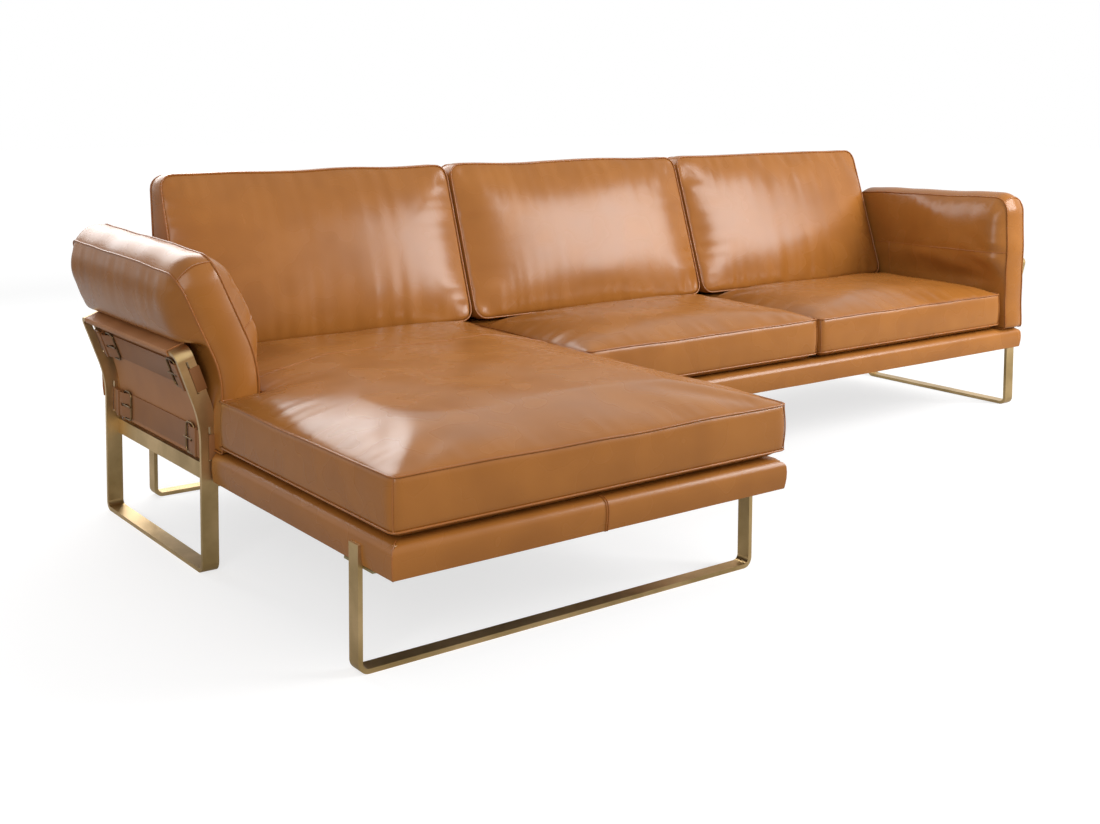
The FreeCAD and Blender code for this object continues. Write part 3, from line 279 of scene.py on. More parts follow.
def boxedForm(name, cells, cutOut=None):
    across, along, deep = cells
    clearSelection()
    bpy.ops.mesh.primitive_grid_add(x_subdivisions=across, y_subdivisions=along, size=1, location=(0.5, 0.5, 0))
    under = bpy.context.object
    bpy.ops.mesh.primitive_grid_add(x_subdivisions=across, y_subdivisions=along, size=1, location=(0.5, 0.5, 1))
    form = bpy.context.object
    under.select_set(True)
    bpy.ops.object.join()
    form.name = name
    bpy.ops.object.transform_apply()
    if cutOut:
        selectFaces(form, cutOut)
        bpy.ops.mesh.delete(type="FACE")
        objectMode()  # closes up the vertex numbers, so that the rim's stay true
    selectNone("EDGE")
    bpy.ops.mesh.select_non_manifold(extend=False, use_wire=False, use_multi_face=False, use_non_contiguous=False)
    form.update_from_editmode()
    onRim = {v.index for v in form.data.vertices if v.select}
    bpy.ops.mesh.bridge_edge_loops(number_cuts=deep - 1)
    objectMode()
    return form, onRim


def selectFaces(form, chosen):
    pick(form)
    selectNone("FACE")
    objectMode()
    for face in form.data.polygons:
        face.select = chosen(face.center)
    editMode()


def outward(form):
    pick(form)
    editMode()
    bpy.ops.mesh.select_all(action="SELECT")
    bpy.ops.mesh.normals_make_consistent(inside=False)
    objectMode()


clothLook = {"quality": 3, "mass": 0.3, "shear": 0.5, "airDamping": 2.0, "easing": 0.5}


def puff(form, held, recipe):
    started = [v.co.copy() for v in form.data.vertices]
    pick(form)
    group = form.vertex_groups.new(name="held")
    group.add(list(held), 1.0, "REPLACE")
    cloth = form.modifiers.new("filling", "CLOTH")
    settings = cloth.settings
    settings.quality = clothLook["quality"]
    settings.mass = clothLook["mass"]
    settings.tension_stiffness = recipe["stretch"]
    settings.compression_stiffness = recipe["stretch"]
    settings.shear_stiffness = recipe["stretch"] * clothLook["shear"]
    settings.bending_stiffness = recipe["bend"]
    settings.air_damping = clothLook["airDamping"]
    settings.use_pressure = True
    settings.uniform_pressure_force = recipe["pressure"]
    settings.vertex_group_mass = "held"
    settings.effector_weights.gravity = 0.0
    cloth.collision_settings.use_collision = False
    cloth.point_cache.frame_start = 1
    cloth.point_cache.frame_end = recipe["frames"]
    for step in range(1, recipe["frames"] + 1):
        scene.frame_set(step)
    bpy.ops.object.modifier_apply(modifier=cloth.name)
    scene.frame_set(1)
    eased = form.modifiers.new("eased", "SMOOTH")  # batting under the hide fills out the small dents
    eased.vertex_group = "held"
    eased.invert_vertex_group = True
    eased.factor = clothLook["easing"]
    eased.iterations = recipe["ease"]
    bpy.ops.object.modifier_apply(modifier=eased.name)
    form.vertex_groups.clear()
    furthest = 0
    for vertex, before in zip(form.data.vertices, started):
        moved = vertex.co - before
        furthest = max(furthest, moved.length)
        if moved.length > recipe["cap"] * mm:
            vertex.co = before + moved * (recipe["cap"] * mm / moved.length)
    print(form.name, "filled, furthest point moved", round(furthest / mm, 1), "mm")


def cordAlong(form, chosen, radius, name):
    # the seam's edges are copied off the cushion and thickened into a cord
    pick(form)
    selectNone("VERT")
    objectMode()
    for index in chosen:
        form.data.vertices[index].select = True
    editMode()
    bpy.ops.mesh.duplicate()
    bpy.ops.mesh.separate(type="SELECTED")
    objectMode()
    cord = next(o for o in bpy.context.selected_objects if o is not form)
    cord.name = name
    return thicken(cord, radius)


def thicken(cord, radius):
    pick(cord)
    if cord.type == "MESH":
        bpy.ops.object.convert(target="CURVE")
    cord.data.bevel_depth = radius * mm
    cord.data.bevel_resolution = 2
    cord.data.use_fill_caps = True
    bpy.ops.object.convert(target="MESH")
    setMaterial(cord, welt)
    bpy.ops.object.shade_smooth()
    return cord


def finishForm(form):
    pick(form)
    rounded = form.modifiers.new("rounded", "SUBSURF")
    rounded.levels = rounded.render_levels = 1
    bpy.ops.object.modifier_apply(modifier=rounded.name)
    setMaterial(form, leather)
    bpy.ops.object.shade_smooth()


def roundedCorner(x, y, width, length, lowRadius, highRadius):
    # draws the square corners of a panel in to quarter circles
    radius = highRadius if y > length / 2 else lowRadius
    cx = min(max(x, radius), width - radius)
    cy = min(max(y, radius), length - radius)
    dx, dy = x - cx, y - cy
    reach = math.hypot(dx, dy)
    if dx and dy:
        pull = max(abs(dx), abs(dy)) / reach
        return cx + dx * pull, cy + dy * pull
    return x, y


edgeSlip = 0.001  # how near to the end of a panel counts as on it
lineSlip = 0.01  # the same for a line of the grid, in cells


def atLow(t):
    return t < edgeSlip


def atHigh(t):
    return t > 1 - edgeSlip


def atEnds(t):
    return atLow(t) or atHigh(t)


def onLine(t, count, line):
    return abs(t * count - line) < lineSlip


swelling = {"curve": 2.4, "nearShare": 0.55, "farShare": 0.45, "farRun": 3.5}


def swellOver(distance, run):
    return 1 - (1 - min(1.0, max(0.0, distance) / run)) ** swelling["curve"]


def domeOver(distances, run):
    # swells away from every side at once, steeply by the seams and then slowly, so that the corners stay soft
    near, far, farRun = swelling["nearShare"], swelling["farShare"], swelling["farRun"] * run
    return math.prod(near * swellOver(away, run) + far * swellOver(away, farRun) for away in distances)


gathers = {"broadMm": 34, "fineMm": 15, "fineShare": 0.5, "fadeIn": 0.02}


def pucker(along, depth, seed, reach):
    # short gathers that fade away from a seam
    broad = noise.noise(Vector((along * perMetre(gathers["broadMm"]), seed, 0.0)))
    fine = noise.noise(Vector((along * perMetre(gathers["fineMm"]), 0, seed)))
    return (broad + gathers["fineShare"] * fine) * math.exp(-depth / reach)


def drawnUp(look, along, edge, seed):
    # how far the gathers by a seam lift the panel, in mm
    return look["puckerMm"] * pucker(along, edge, seed, look["puckerReach"]) * smooth(edge / gathers["fadeIn"])


def gather(form, moves):
    # the hide is drawn up by the seams once the cushion is full
    for index, move in moves.items():
        form.data.vertices[index].co += move


def ripple(point, sizeMm, seed):
    return noise.noise(point * perMetre(sizeMm) + Vector((seed, 0.37 * seed, -seed)))


def gridCells(look, width, length):
    return (*(round(size / mm / look["gridMm"]) for size in (width, length)), look["boxingCells"])


def stay(form, lo, hi, spare):
    # a filled cushion keeps clear of its neighbours at its sides
    for v in form.data.vertices:
        v.co.x = min(max(v.co.x, lo.x - spare), hi.x + spare)


# Seat cushions

seatLook = {
    "seam": 407, "lowSeam": 303, "bottom": 284.5, "corner": 14, "inset": 4, "gridMm": 14, "boxingCells": 9,
    "crown": 37, "swell": 0.075, "wave": 3.5, "waveMm": 210, "waveRun": 0.1,
    "rolled": 30, "flatBehind": 188, "heldAhead": 10, "fall": 50, "under": 0.1, "sideSpare": 1.5,
    "puckerMm": 6.0, "puckerReach": 0.05, "boxingPucker": 1.6, "boxingFade": 8, "slackMm": 3.5, "slackSize": 190,
    "weltMm": 2.4, "seamMm": 1.5, "crossSeam": 880, "notchGap": (8, 9), "fill": 0.75,
    "filling": {"pressure": 2.2, "stretch": 30.0, "bend": 3.0, "frames": 14, "cap": 12.0, "ease": 3},
}


def stretched(value, gridLine, wanted, whole):
    # slides the grid along so that one of its lines falls on a wanted place
    if value <= gridLine:
        return value * wanted / gridLine
    return wanted + (value - gridLine) * (whole - wanted) / (whole - gridLine)


def makeSeat(node, body, notch, seed):
    look = seatLook
    lo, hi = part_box(node)
    inset = look["inset"] * mm
    x0, y0 = lo.x + inset, lo.y + inset
    width, length = hi.x - lo.x - 2 * inset, hi.y - lo.y - inset
    cells = gridCells(look, width, length)
    cutOut = None
    if notch:
        def cutOut(point):
            return point.x * width < notch[0] and point.y * length > notch[1]
    form, onRim = boxedForm(node.replace("_cushion", "_leather_cushion"), cells, cutOut)
    seam, lowSeam, bottom = (look[k] * mm for k in ("seam", "lowSeam", "bottom"))
    flatFrom = length - look["flatBehind"] * mm
    topSeam, lowLoop, cornerSeams, crossSeam, held, moves = set(), set(), set(), set(), set(), {}
    seamRow = round((look["crossSeam"] * mm - (y0 - chaiseCorner.y)) / length * cells[1])
    for v in form.data.vertices:
        a, b, level = v.co
        px, py = a * width, b * length
        if notch:
            px = stretched(px, round(notch[0] / width * cells[0]) / cells[0] * width, notch[0], width)
            py = stretched(py, round(notch[1] / length * cells[1]) / cells[1] * length, notch[1], length)
        if atEnds(a) and atLow(b):
            cornerSeams.add(v.index)
        if notch and atHigh(level) and onLine(b, cells[1], seamRow):
            crossSeam.add(v.index)
        x, y = roundedCorner(px, py, width, length, look["corner"] * mm, look["corner"] * mm)
        sides = [(px, py), (width - px, py), (py, px), (length - py, px)]
        if notch:
            beside, before = px - notch[0], notch[1] - py
            gap = math.hypot(max(0.0, beside), max(0.0, before))
            sides.append((gap, py if beside > before else px))
        edge, along = min(sides)
        here = Vector((x0 + x, y0 + y, 0))
        fall = look["fall"] * mm  # the swell ends where the back cushions stand
        settle = 1 - (1 - look["under"]) * smooth((py - flatFrom + fall) / fall)
        # seams are never quite straight
        slack = look["slackMm"] * mm * ripple(here, look["slackSize"], seed + 3) * settle
        if atHigh(level):
            z = seam + slack + look["crown"] * mm * domeOver([side for side, _ in sides], look["swell"]) * settle
            z += look["wave"] * mm * ripple(here, look["waveMm"], seed) * smooth(edge / look["waveRun"]) * settle
            if py > flatFrom - look["heldAhead"] * mm:
                held.add(v.index)
            else:
                moves[v.index] = Vector((0, 0, drawnUp(look, along, edge, seed) * mm))
            if v.index in onRim:
                topSeam.add(v.index)
                held.add(v.index)
        elif atLow(level):
            z = lowSeam - (lowSeam - bottom) * smooth(edge / (look["rolled"] * mm))
            held.add(v.index)
            if v.index in onRim:
                lowLoop.add(v.index)
        else:
            z = lowSeam + (seam + slack - lowSeam) * level
            below = 1 - level
            drawn = pucker(py + px, below * (seam - lowSeam), seed + 5, look["puckerReach"])
            bulge = inset * math.sin(math.pi * level)
            bulge += look["boxingPucker"] * mm * drawn * smooth(below * look["boxingFade"])
            away = Vector((0, 0, 0))
            if atEnds(a):
                away.x = math.copysign(bulge, a - 0.5)
            if atLow(b):
                away.y = -bulge
            here += away
        v.co = Vector((here.x, here.y, z))
    outward(form)
    puff(form, held, look["filling"])
    stay(form, lo, hi, look["sideSpare"] * mm)
    gather(form, moves)
    cords = [
        cordAlong(form, topSeam, look["weltMm"], node + "_top_welt"),
        cordAlong(form, lowLoop, look["weltMm"], node + "_low_welt"),
        cordAlong(form, cornerSeams, look["seamMm"], node + "_corner_seams"),
    ]
    if crossSeam:
        cords.append(cordAlong(form, crossSeam, look["seamMm"], node + "_cross_seam"))
    print(node, "top at", round(max(v.co.z for v in form.data.vertices) / mm, 1))
    finishForm(form)
    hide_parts(node)
    for piece in (form, *cords):
        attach(piece, body)
    print(node, "done")


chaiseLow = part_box("chaise_cushion")[0]
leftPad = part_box("left_arm_lower_pad")
besideArm, beforeArm = (gap * mm for gap in seatLook["notchGap"])
chaiseNotch = (leftPad[1].x + besideArm - chaiseLow.x, leftPad[0].y - beforeArm - chaiseLow.y)
makeSeat("chaise_cushion", "chaise", chaiseNotch, 3.1)
makeSeat("middle_seat_cushion", "middle_seat", None, 11.7)
makeSeat("right_seat_cushion", "right_seat", None, 23.9)


# Back cushions

backLook = {
    "lowFront": (1254, 424), "topFront": (1408, 873), "topRear": (1470, 868), "lowRear": (1430, 424),
    "underside": 416.5, "underRun": 3, "corner": 38, "inset": 4, "gridMm": 13, "boxingCells": 7, "sideSpare": 1.5,
    "crown": 42, "swell": 0.13, "wave": 5, "waveMm": 230, "waveRun": 0.1,
    "rearCrown": 6, "rearSwell": 0.1, "topArch": 5,
    "puckerMm": 8.0, "puckerReach": 0.06, "slackMm": 5, "slackSize": 190, "slackFrom": 0.4, "slackRun": 0.6,
    "weltMm": 2.6, "fill": 0.65,
    "filling": {"pressure": 2.2, "stretch": 26.0, "bend": 3.5, "frames": 14, "cap": 16.0, "ease": 4},
}


def makeBack(node, body, seed):
    look = backLook
    lo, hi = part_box(node)
    inset = look["inset"] * mm
    x0, width = lo.x + inset, hi.x - lo.x - 2 * inset
    lowFront, topFront, topRear, lowRear = (
        place(0, *look[k]) for k in ("lowFront", "topFront", "topRear", "lowRear")
    )
    height = (topFront - lowFront).length
    rise = (topFront - lowFront) / height
    facing = Vector((0, -rise.z, rise.y))
    cells = gridCells(look, width, height)
    form, onRim = boxedForm(node.replace("_cushion", "_leather_cushion"), cells)
    frontSeam, rearSeam, held, moves = set(), set(), set(), {}
    for v in form.data.vertices:
        a, b, level = v.co
        px, py = a * width, b * height
        x, y = roundedCorner(px, py, width, height, look["corner"] * mm, look["corner"] * mm)
        sides = ((px, py), (width - px, py), (py, px), (height - py, px))
        edge, along = min(sides)
        front = lowFront + rise * y
        rear = lowRear + (topRear - lowRear) * (y / height)
        here = rear + (front - rear) * level
        here.x = x0 + x
        slack = ripple(Vector((px, 0, 0)), look["slackSize"], seed)
        here += rise * look["slackMm"] * mm * slack * smooth((b - look["slackFrom"]) / look["slackRun"])
        if atHigh(level):
            lift = look["crown"] * domeOver([side for side, _ in sides], look["swell"])
            lift += look["wave"] * ripple(here, look["waveMm"], seed) * smooth(edge / look["waveRun"])
            here += facing * lift * mm
            moves[v.index] = facing * drawnUp(look, along, edge, seed) * mm
            if v.index in onRim:
                frontSeam.add(v.index)
                held.add(v.index)
        elif atLow(level):
            here -= facing * look["rearCrown"] * mm * swellOver(edge, look["rearSwell"])
            held.add(v.index)
            if v.index in onRim:
                rearSeam.add(v.index)
        else:
            arch = math.sin(math.pi * level)
            if atLow(b):
                here.z -= (lowFront.z - look["underside"] * mm) * min(1, look["underRun"] * arch)
                held.add(v.index)
            if atHigh(b):
                here.z += look["topArch"] * mm * arch
            if atEnds(a):
                here.x += math.copysign(inset * arch, a - 0.5)
        v.co = here
    outward(form)
    puff(form, held, look["filling"])
    stay(form, lo, hi, look["sideSpare"] * mm)
    gather(form, moves)
    cords = [
        cordAlong(form, frontSeam, look["weltMm"], node + "_front_welt"),
        cordAlong(form, rearSeam, look["weltMm"], node + "_rear_welt"),
    ]
    finishForm(form)
    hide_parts(node)
    for piece in (form, *cords):
        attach(piece, body)
    print(node, "done")


makeBack("left_back_cushion", "left_back", 5.3)
makeBack("middle_back_cushion", "middle_back", 17.9)
makeBack("right_back_cushion", "right_back", 31.4)


# Arms: one cushion each, which bends at the tilt fitting

armLook = {
    "hinge": (52, 480), "half": 45, "foot": 284.5, "rise": 258, "bendRun": 60, "gridMm": 11, "boxingCells": 9,
    "corner": 50, "footCorner": 8, "boxing": 9, "topArch": 17,
    "slackMm": 6, "frontSlackSize": 110, "frontSlackFade": 4, "topSlackSize": 130, "slackFrom": 0.6, "slackRun": 0.4,
    "innerCrown": 50, "innerRear": 19, "tightBehind": 450, "tightRun": 200,  # tight beside the back
    "innerLow": 8, "innerFrom": 160, "innerRise": 90, "innerFront": 0.06, "innerSwell": 0.07, "innerFoot": 0.08,
    "outerCrown": 47, "overBar": 272, "rollRun": 25,  # the outer panel rolls out over the top bar
    "outerFront": 0.08, "outerBack": 0.04, "outerTop": 0.12,
    "puckerMm": 5.5, "puckerReach": 0.05, "crossSeam": 265, "panelSeam": 490,
    "seamDip": 5, "dipReach": 0.012, "dipFrom": 0.03,
    "weltMm": 2.4, "seamMm": 1.7, "panelSeamMm": 1.19, "fill": 0.8,
    "filling": {"pressure": 1.6, "stretch": 30.0, "bend": 3.0, "frames": 14, "cap": 6.0, "ease": 4},
}


def armLine(s, lean):
    # the arm's middle line: distance out and height, and how far it has turned
    run = armLook["bendRun"] * mm
    foot = armLook["foot"] * mm
    below = armLook["hinge"][1] * mm - foot - run
    if not lean or s <= below:
        return 0.0, foot + s, 0.0
    radius = run / math.tan(lean / 2)
    turn = min(lean, (s - below) / radius)
    rest = max(0.0, s - below - radius * lean)
    out = radius * (1 - math.cos(turn)) + rest * math.sin(lean)
    return out, foot + below + radius * math.sin(turn) + rest * math.cos(lean), turn


def makeArm(side, lean, climb, seed):
    look = armLook
    lo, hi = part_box(side + "_arm_lower_pad")
    sideways = -1 if side == "left" else 1
    hingeX = sideX(side, look["hinge"][0])
    y0, depth = lo.y, hi.y - lo.y
    half = look["half"] * mm
    tall = (look["hinge"][1] - look["foot"] + look["rise"]) * mm
    cells = gridCells(look, depth, tall)
    form, onRim = boxedForm(side + "_arm_leather_cushion", cells)
    innerSeam, outerSeam, cornerSeam, crossSeam, panelSeam, held = (set() for _ in range(6))
    moves = {}
    seamColumn = round(look["panelSeam"] * mm / depth * cells[0])
    seamRow = round(look["crossSeam"] * mm / tall * cells[1])
    for v in form.data.vertices:
        a, b, level = v.co
        py, ps = a * depth, b * tall
        if atLow(a) and atHigh(b):
            cornerSeam.add(v.index)
        if atHigh(level) and onLine(b, cells[1], seamRow):
            crossSeam.add(v.index)
        if atHigh(level) and onLine(a, cells[0], seamColumn) and b * cells[1] < seamRow + lineSlip:
            panelSeam.add(v.index)
        y, s = roundedCorner(py, ps, depth, tall, look["footCorner"] * mm, look["corner"] * mm)
        slack = look["slackMm"] * mm
        y += slack * ripple(Vector((0, ps, 0)), look["frontSlackSize"], seed) * (1 - a) ** look["frontSlackFade"]
        topSlack = slack * ripple(Vector((py, 0, 0)), look["topSlackSize"], seed + 1)
        s += topSlack * smooth((b - look["slackFrom"]) / look["slackRun"])
        arch = 0.0 if atEnds(level) else math.sin(math.pi * level)
        if arch and atEnds(a):
            y += math.copysign(look["boxing"] * mm * arch, a - 0.5)
        if arch and atHigh(b):
            s += look["topArch"] * mm * arch
        s += climb * mm * a * smooth(s / tall)
        out, up, turn = armLine(s, lean)
        offset = half * (1 - 2 * level)
        edge, along = min((py, ps), (depth - py, ps), (tall - ps, py))
        if not arch:
            drawn = drawnUp(look, along, edge, seed)
            if level < 0.5:
                rolled = smooth((s - look["overBar"] * mm) / (look["rollRun"] * mm))
                ends = swellOver(py, look["outerFront"]) * swellOver(depth - py, look["outerBack"])
                lift = look["outerCrown"] * swellOver(tall - ps, look["outerTop"]) * ends * rolled
                drawn *= rolled
            else:
                tightRun = look["tightRun"] * mm
                tight = smooth((py - look["tightBehind"] * mm + tightRun) / tightRun)
                low = 1 - smooth((ps - look["innerFrom"] * mm) / (look["innerRise"] * mm))
                most = look["innerCrown"] - (look["innerCrown"] - look["innerRear"]) * tight
                most -= (most - look["innerLow"]) * low
                lift = most * swellOver(py, look["innerFront"]) * domeOver((depth - py, tall - ps), look["innerSwell"])
                lift *= smooth(ps / look["innerFoot"])
                fromSeam = abs(b - seamRow / cells[1]) * tall
                lift -= look["seamDip"] * math.exp(-fromSeam / look["dipReach"]) * smooth(edge / look["dipFrom"])
            face = math.copysign(1, offset)
            moves[v.index] = Vector((sideways * math.cos(turn), 0, -math.sin(turn))) * face * drawn * mm
            offset += face * lift * mm
        out += offset * math.cos(turn)
        up -= offset * math.sin(turn)
        v.co = Vector((hingeX + sideways * out, y0 + y, up))
        if v.index in onRim:
            held.add(v.index)
            (innerSeam if level > 0.5 else outerSeam).add(v.index)
        if atLow(b) or (level < 0.5 and s < look["overBar"] * mm):
            held.add(v.index)
    outward(form)
    puff(form, held, look["filling"])
    gather(form, moves)
    cords = [
        cordAlong(form, innerSeam, look["weltMm"], side + "_arm_inner_welt"),
        cordAlong(form, outerSeam, look["weltMm"], side + "_arm_outer_welt"),
        cordAlong(form, cornerSeam, look["seamMm"], side + "_arm_corner_seam"),
        cordAlong(form, crossSeam, look["seamMm"], side + "_arm_cross_seam"),
        cordAlong(form, panelSeam, look["panelSeamMm"], side + "_arm_panel_seam"),
    ]
    finishForm(form)
    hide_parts(side + "_arm_lower_pad")
    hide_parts(side + "_arm_upper_pad")
    for piece in (form, *cords):
        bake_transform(piece)
    print(side, "arm done")


makeArm("left", lean=math.radians(24.4), climb=24, seed=41.2)
makeArm("right", lean=0.0, climb=-18, seed=57.7)


# Wrapped rails of the bases: leather over thin padding, so the edges are round and the faces nearly flat

railLook = {
    "top": 20, "edge": 4, "edgeFacets": 3, "sharp": 50, "stepMm": 40, "nearEdge": (3, 9, 20),
    "heights": (0, 12, 25, 38, 50, 57, 64, 70), "belly": 4, "bellyRun": 20, "wave": 0.6, "waveMm": 150, "waveDown": 0.6,
    "opening": 68, "recess": 20, "recessAhead": 7, "fill": 0.95,
}


def steps(stops):
    lines = []
    for low, high in zip(stops, stops[1:]):
        count = max(1, round((high - low) / (railLook["stepMm"] * mm)))
        lines += [low + (high - low) * k / count for k in range(count)]
    return lines[1:]


def rollOver(side, deep, radius):
    # moves a place near the rail's top edge on to a quarter round: distances in from the side and down from the top
    if side >= radius or deep >= radius:
        return side, deep
    toSide, toTop = radius - side, radius - deep
    pull = max(toSide, toTop) / max(1e-9, math.hypot(toSide, toTop))
    return radius - toSide * pull, radius - toTop * pull


def wrappedBase(node, recess, openLow, openHigh, rolled, seed):
    lo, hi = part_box(node)
    clearSelection()
    bpy.ops.mesh.primitive_plane_add(size=1, location=((lo.x + hi.x) / 2, (lo.y + hi.y) / 2, lo.z))
    rail = bpy.context.object
    rail.name = node.replace("_cover", "_leather_rail")
    rail.scale = (hi.x - lo.x, hi.y - lo.y, 1)
    bpy.ops.object.transform_apply()
    editMode()
    recessFrom, recessTo, recessFront = recess
    stopsX = {lo.x, hi.x, openLow[0], openHigh[0], recessFrom, recessTo}
    stopsY = {lo.y, hi.y, openLow[1], openHigh[1], recessFront}
    for near in railLook["nearEdge"]:
        stopsX |= {lo.x + near * mm, hi.x - near * mm}
        stopsY |= {lo.y + near * mm, hi.y - near * mm}
    stopsX, stopsY = sorted(stopsX), sorted(stopsY)
    for axis, stops in ((0, stopsX), (1, stopsY)):
        for line in steps(stops):
            bpy.ops.mesh.select_all(action="SELECT")
            spot, normal = [0, 0, 0], [0, 0, 0]
            spot[axis] = line
            normal[axis] = 1
            bpy.ops.mesh.bisect(plane_co=spot, plane_no=normal)
    objectMode()

    def bare(point):
        opening = openLow[0] < point.x < openHigh[0] and openLow[1] < point.y < openHigh[1]
        return opening or (recessFrom < point.x < recessTo and point.y > recessFront)
    selectFaces(rail, bare)
    bpy.ops.mesh.delete(type="FACE")
    bpy.ops.mesh.select_all(action="SELECT")
    scaleUp = (hi.z - lo.z) / railLook["heights"][-1]
    for low, high in zip(railLook["heights"], railLook["heights"][1:]):
        bpy.ops.mesh.extrude_region_move(TRANSFORM_OT_translate={"value": (0, 0, (high - low) * scaleUp)})
    objectMode()
    outward(rail)
    for v in rail.data.vertices:
        deep = hi.z - v.co.z
        for axis, end in rolled:
            edge = (lo if end < 0 else hi)[axis]
            away = abs(v.co[axis] - edge)
            belly = math.sin(math.pi * (v.co.z - lo.z) / (hi.z - lo.z))
            belly *= max(0.0, 1 - away / (railLook["bellyRun"] * mm))
            away, deep = rollOver(away, deep, railLook["top"] * mm)
            v.co[axis] = edge - end * (away - railLook["belly"] * mm * belly)
        v.co.z = hi.z - deep
    selectNone("EDGE")
    bpy.ops.mesh.edges_select_sharp(sharpness=math.radians(railLook["sharp"]))
    bpy.ops.mesh.bevel(
        offset=railLook["edge"] * mm, segments=railLook["edgeFacets"], affect="EDGES", clamp_overlap=True
    )
    objectMode()
    for v in rail.data.vertices:
        v.co += v.normal * railLook["wave"] * mm * (ripple(v.co, railLook["waveMm"], seed) - railLook["waveDown"])
    evened = rail.modifiers.new("evened", "WEIGHTED_NORMAL")
    bpy.ops.object.shade_smooth()
    bpy.ops.object.modifier_apply(modifier=evened.name)
    setMaterial(rail, leather)
    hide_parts(node)
    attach(rail, "sofa")
    print(node, "done")


chaiseLo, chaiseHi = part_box("chaise_base_cover")
sofaLo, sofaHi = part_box("sofa_base_cover")
rim, notch, ahead = (railLook[k] * mm for k in ("opening", "recess", "recessAhead"))
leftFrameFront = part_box("left_arm_frame")[0].y
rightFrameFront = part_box("right_arm_frame")[0].y
wrappedBase(
    "chaise_base_cover", (chaiseLo.x, chaiseLo.x + notch, leftFrameFront - ahead),
    (chaiseLo.x + rim + notch, chaiseLo.y + rim), (chaiseHi.x - rim, chaiseHi.y - rim),
    ((0, -1), (0, 1), (1, -1)), 2.2,
)
wrappedBase(
    "sofa_base_cover", (sofaHi.x - notch, sofaHi.x, rightFrameFront - ahead),
    (sofaLo.x + rim, sofaLo.y + rim), (sofaHi.x - rim - notch, sofaHi.y - rim),
    ((0, 1), (1, -1)), 8.8,
)


# Backs of the bases: padded leather over the timber frames

restLook = {
    "front": 1440, "thick": 76, "bottom": 283.5, "top": 680, "lean": 4.5, "corner": 18, "lowCorner": 4, "boxing": 2,
    "crown": 5, "swell": 0.08, "wave": 1.5, "waveMm": 300, "gridMm": 24, "boxingCells": 4, "weltMm": 2.6, "fill": 0.95,
}


def makeBackrest(node, seed):
    look = restLook
    lo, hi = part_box(node)
    lean = math.radians(look["lean"])
    width, height = hi.x - lo.x, (look["top"] - look["bottom"]) * mm
    cells = gridCells(look, width, height)
    form, onRim = boxedForm(node.replace("_cover", "_leather_cover"), cells)
    rearSeam, frontSeam = set(), set()
    for v in form.data.vertices:
        a, b, level = v.co
        px, py = a * width, b * height
        x, z = roundedCorner(px, py, width, height, look["lowCorner"] * mm, look["corner"] * mm)
        edge = min(px, width - px, py, height - py)
        y = look["front"] * mm + z * math.tan(lean) + look["thick"] * mm * (1 - level)
        swell = look["crown"] * mm * (swellOver(edge, look["swell"]) - 1)
        if atHigh(level):
            y -= swell
        elif atLow(level):
            y += swell + look["wave"] * mm * ripple(Vector((px, py, 0)), look["waveMm"], seed)
        else:
            arch = look["boxing"] * mm * math.sin(math.pi * level)
            z += arch if atHigh(b) else 0
            x += math.copysign(arch, a - 0.5) if atEnds(a) else 0
        if v.index in onRim:
            (frontSeam if level > 0.5 else rearSeam).add(v.index)
        v.co = Vector((lo.x + x, chaiseCorner.y + y, look["bottom"] * mm + z))
    outward(form)
    cords = [
        cordAlong(form, frontSeam, look["weltMm"], node + "_front_welt"),
        cordAlong(form, rearSeam, look["weltMm"], node + "_rear_welt"),
    ]
    finishForm(form)
    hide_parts(node)
    for piece in (form, *cords):
        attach(piece, "sofa")
    print(node, "done")


makeBackrest("chaise_back_cover", 4.4)
makeBackrest("sofa_back_cover", 9.1)


# Slings: a leather sheet that wraps the top bar and is sewn back on itself

slingLook = {
    "middle": -4.5, "flareStart": 300, "flareRadius": 300, "flareAngle": 20, "flareSteps": 8, "bottom": 252,
    "lowRows": 4, "panel": 8.5, "panelRows": range(14, 112, 14), "thick": 2.6, "gridMm": 12, "sharp": 50,
    "sleeve": (  # once round the top bar, by distances across and along the leaning panel
        (9.5, 115.2), (12, 116.3), (16, 116.3), (20.3, 116.6), (21.7, 118.5), (21.7, 123), (21.7, 127.5), (20.3, 129.7),
        (14, 129.7), (7, 129.7), (0, 129.7), (-7, 129.7), (-14, 129.7), (-20.3, 129.7), (-21.7, 127.5), (-21.7, 123),
        (-21.7, 118.5), (-20.3, 116.6), (-14, 116.3), (-6, 116.3), (1, 116.0), (4.6, 114), (5.5, 110),
    ),
    "hem": 5.6, "hemRows": (104, 98, 90),  # sewn to the back of the panel
}


def slingPoint(across, along):
    # a place on the leaning stretch, from the end of the upright's bend
    lean = math.radians(slingLook["flareAngle"])
    radius = slingLook["flareRadius"]
    footX = slingLook["middle"] - radius + radius * math.cos(lean)
    footZ = slingLook["flareStart"] + radius * math.sin(lean)
    return (
        footX + across * math.cos(lean) - along * math.sin(lean),
        footZ + across * math.sin(lean) + along * math.cos(lean),
    )


def slingPath():
    look = slingLook
    lean = math.radians(look["flareAngle"])
    points = [(look["middle"] + look["panel"], look["bottom"] + look["gridMm"] * k) for k in range(look["lowRows"])]
    centre, reach = look["middle"] - look["flareRadius"], look["flareRadius"] + look["panel"]
    for k in range(look["flareSteps"] + 1):
        turn = lean * k / look["flareSteps"]
        points.append((centre + reach * math.cos(turn), look["flareStart"] + reach * math.sin(turn)))
    local = [(look["panel"], row) for row in look["panelRows"]]
    local += look["sleeve"]
    local += [(look["hem"], row) for row in look["hemRows"]]
    return points + [slingPoint(p, q) for p, q in local]


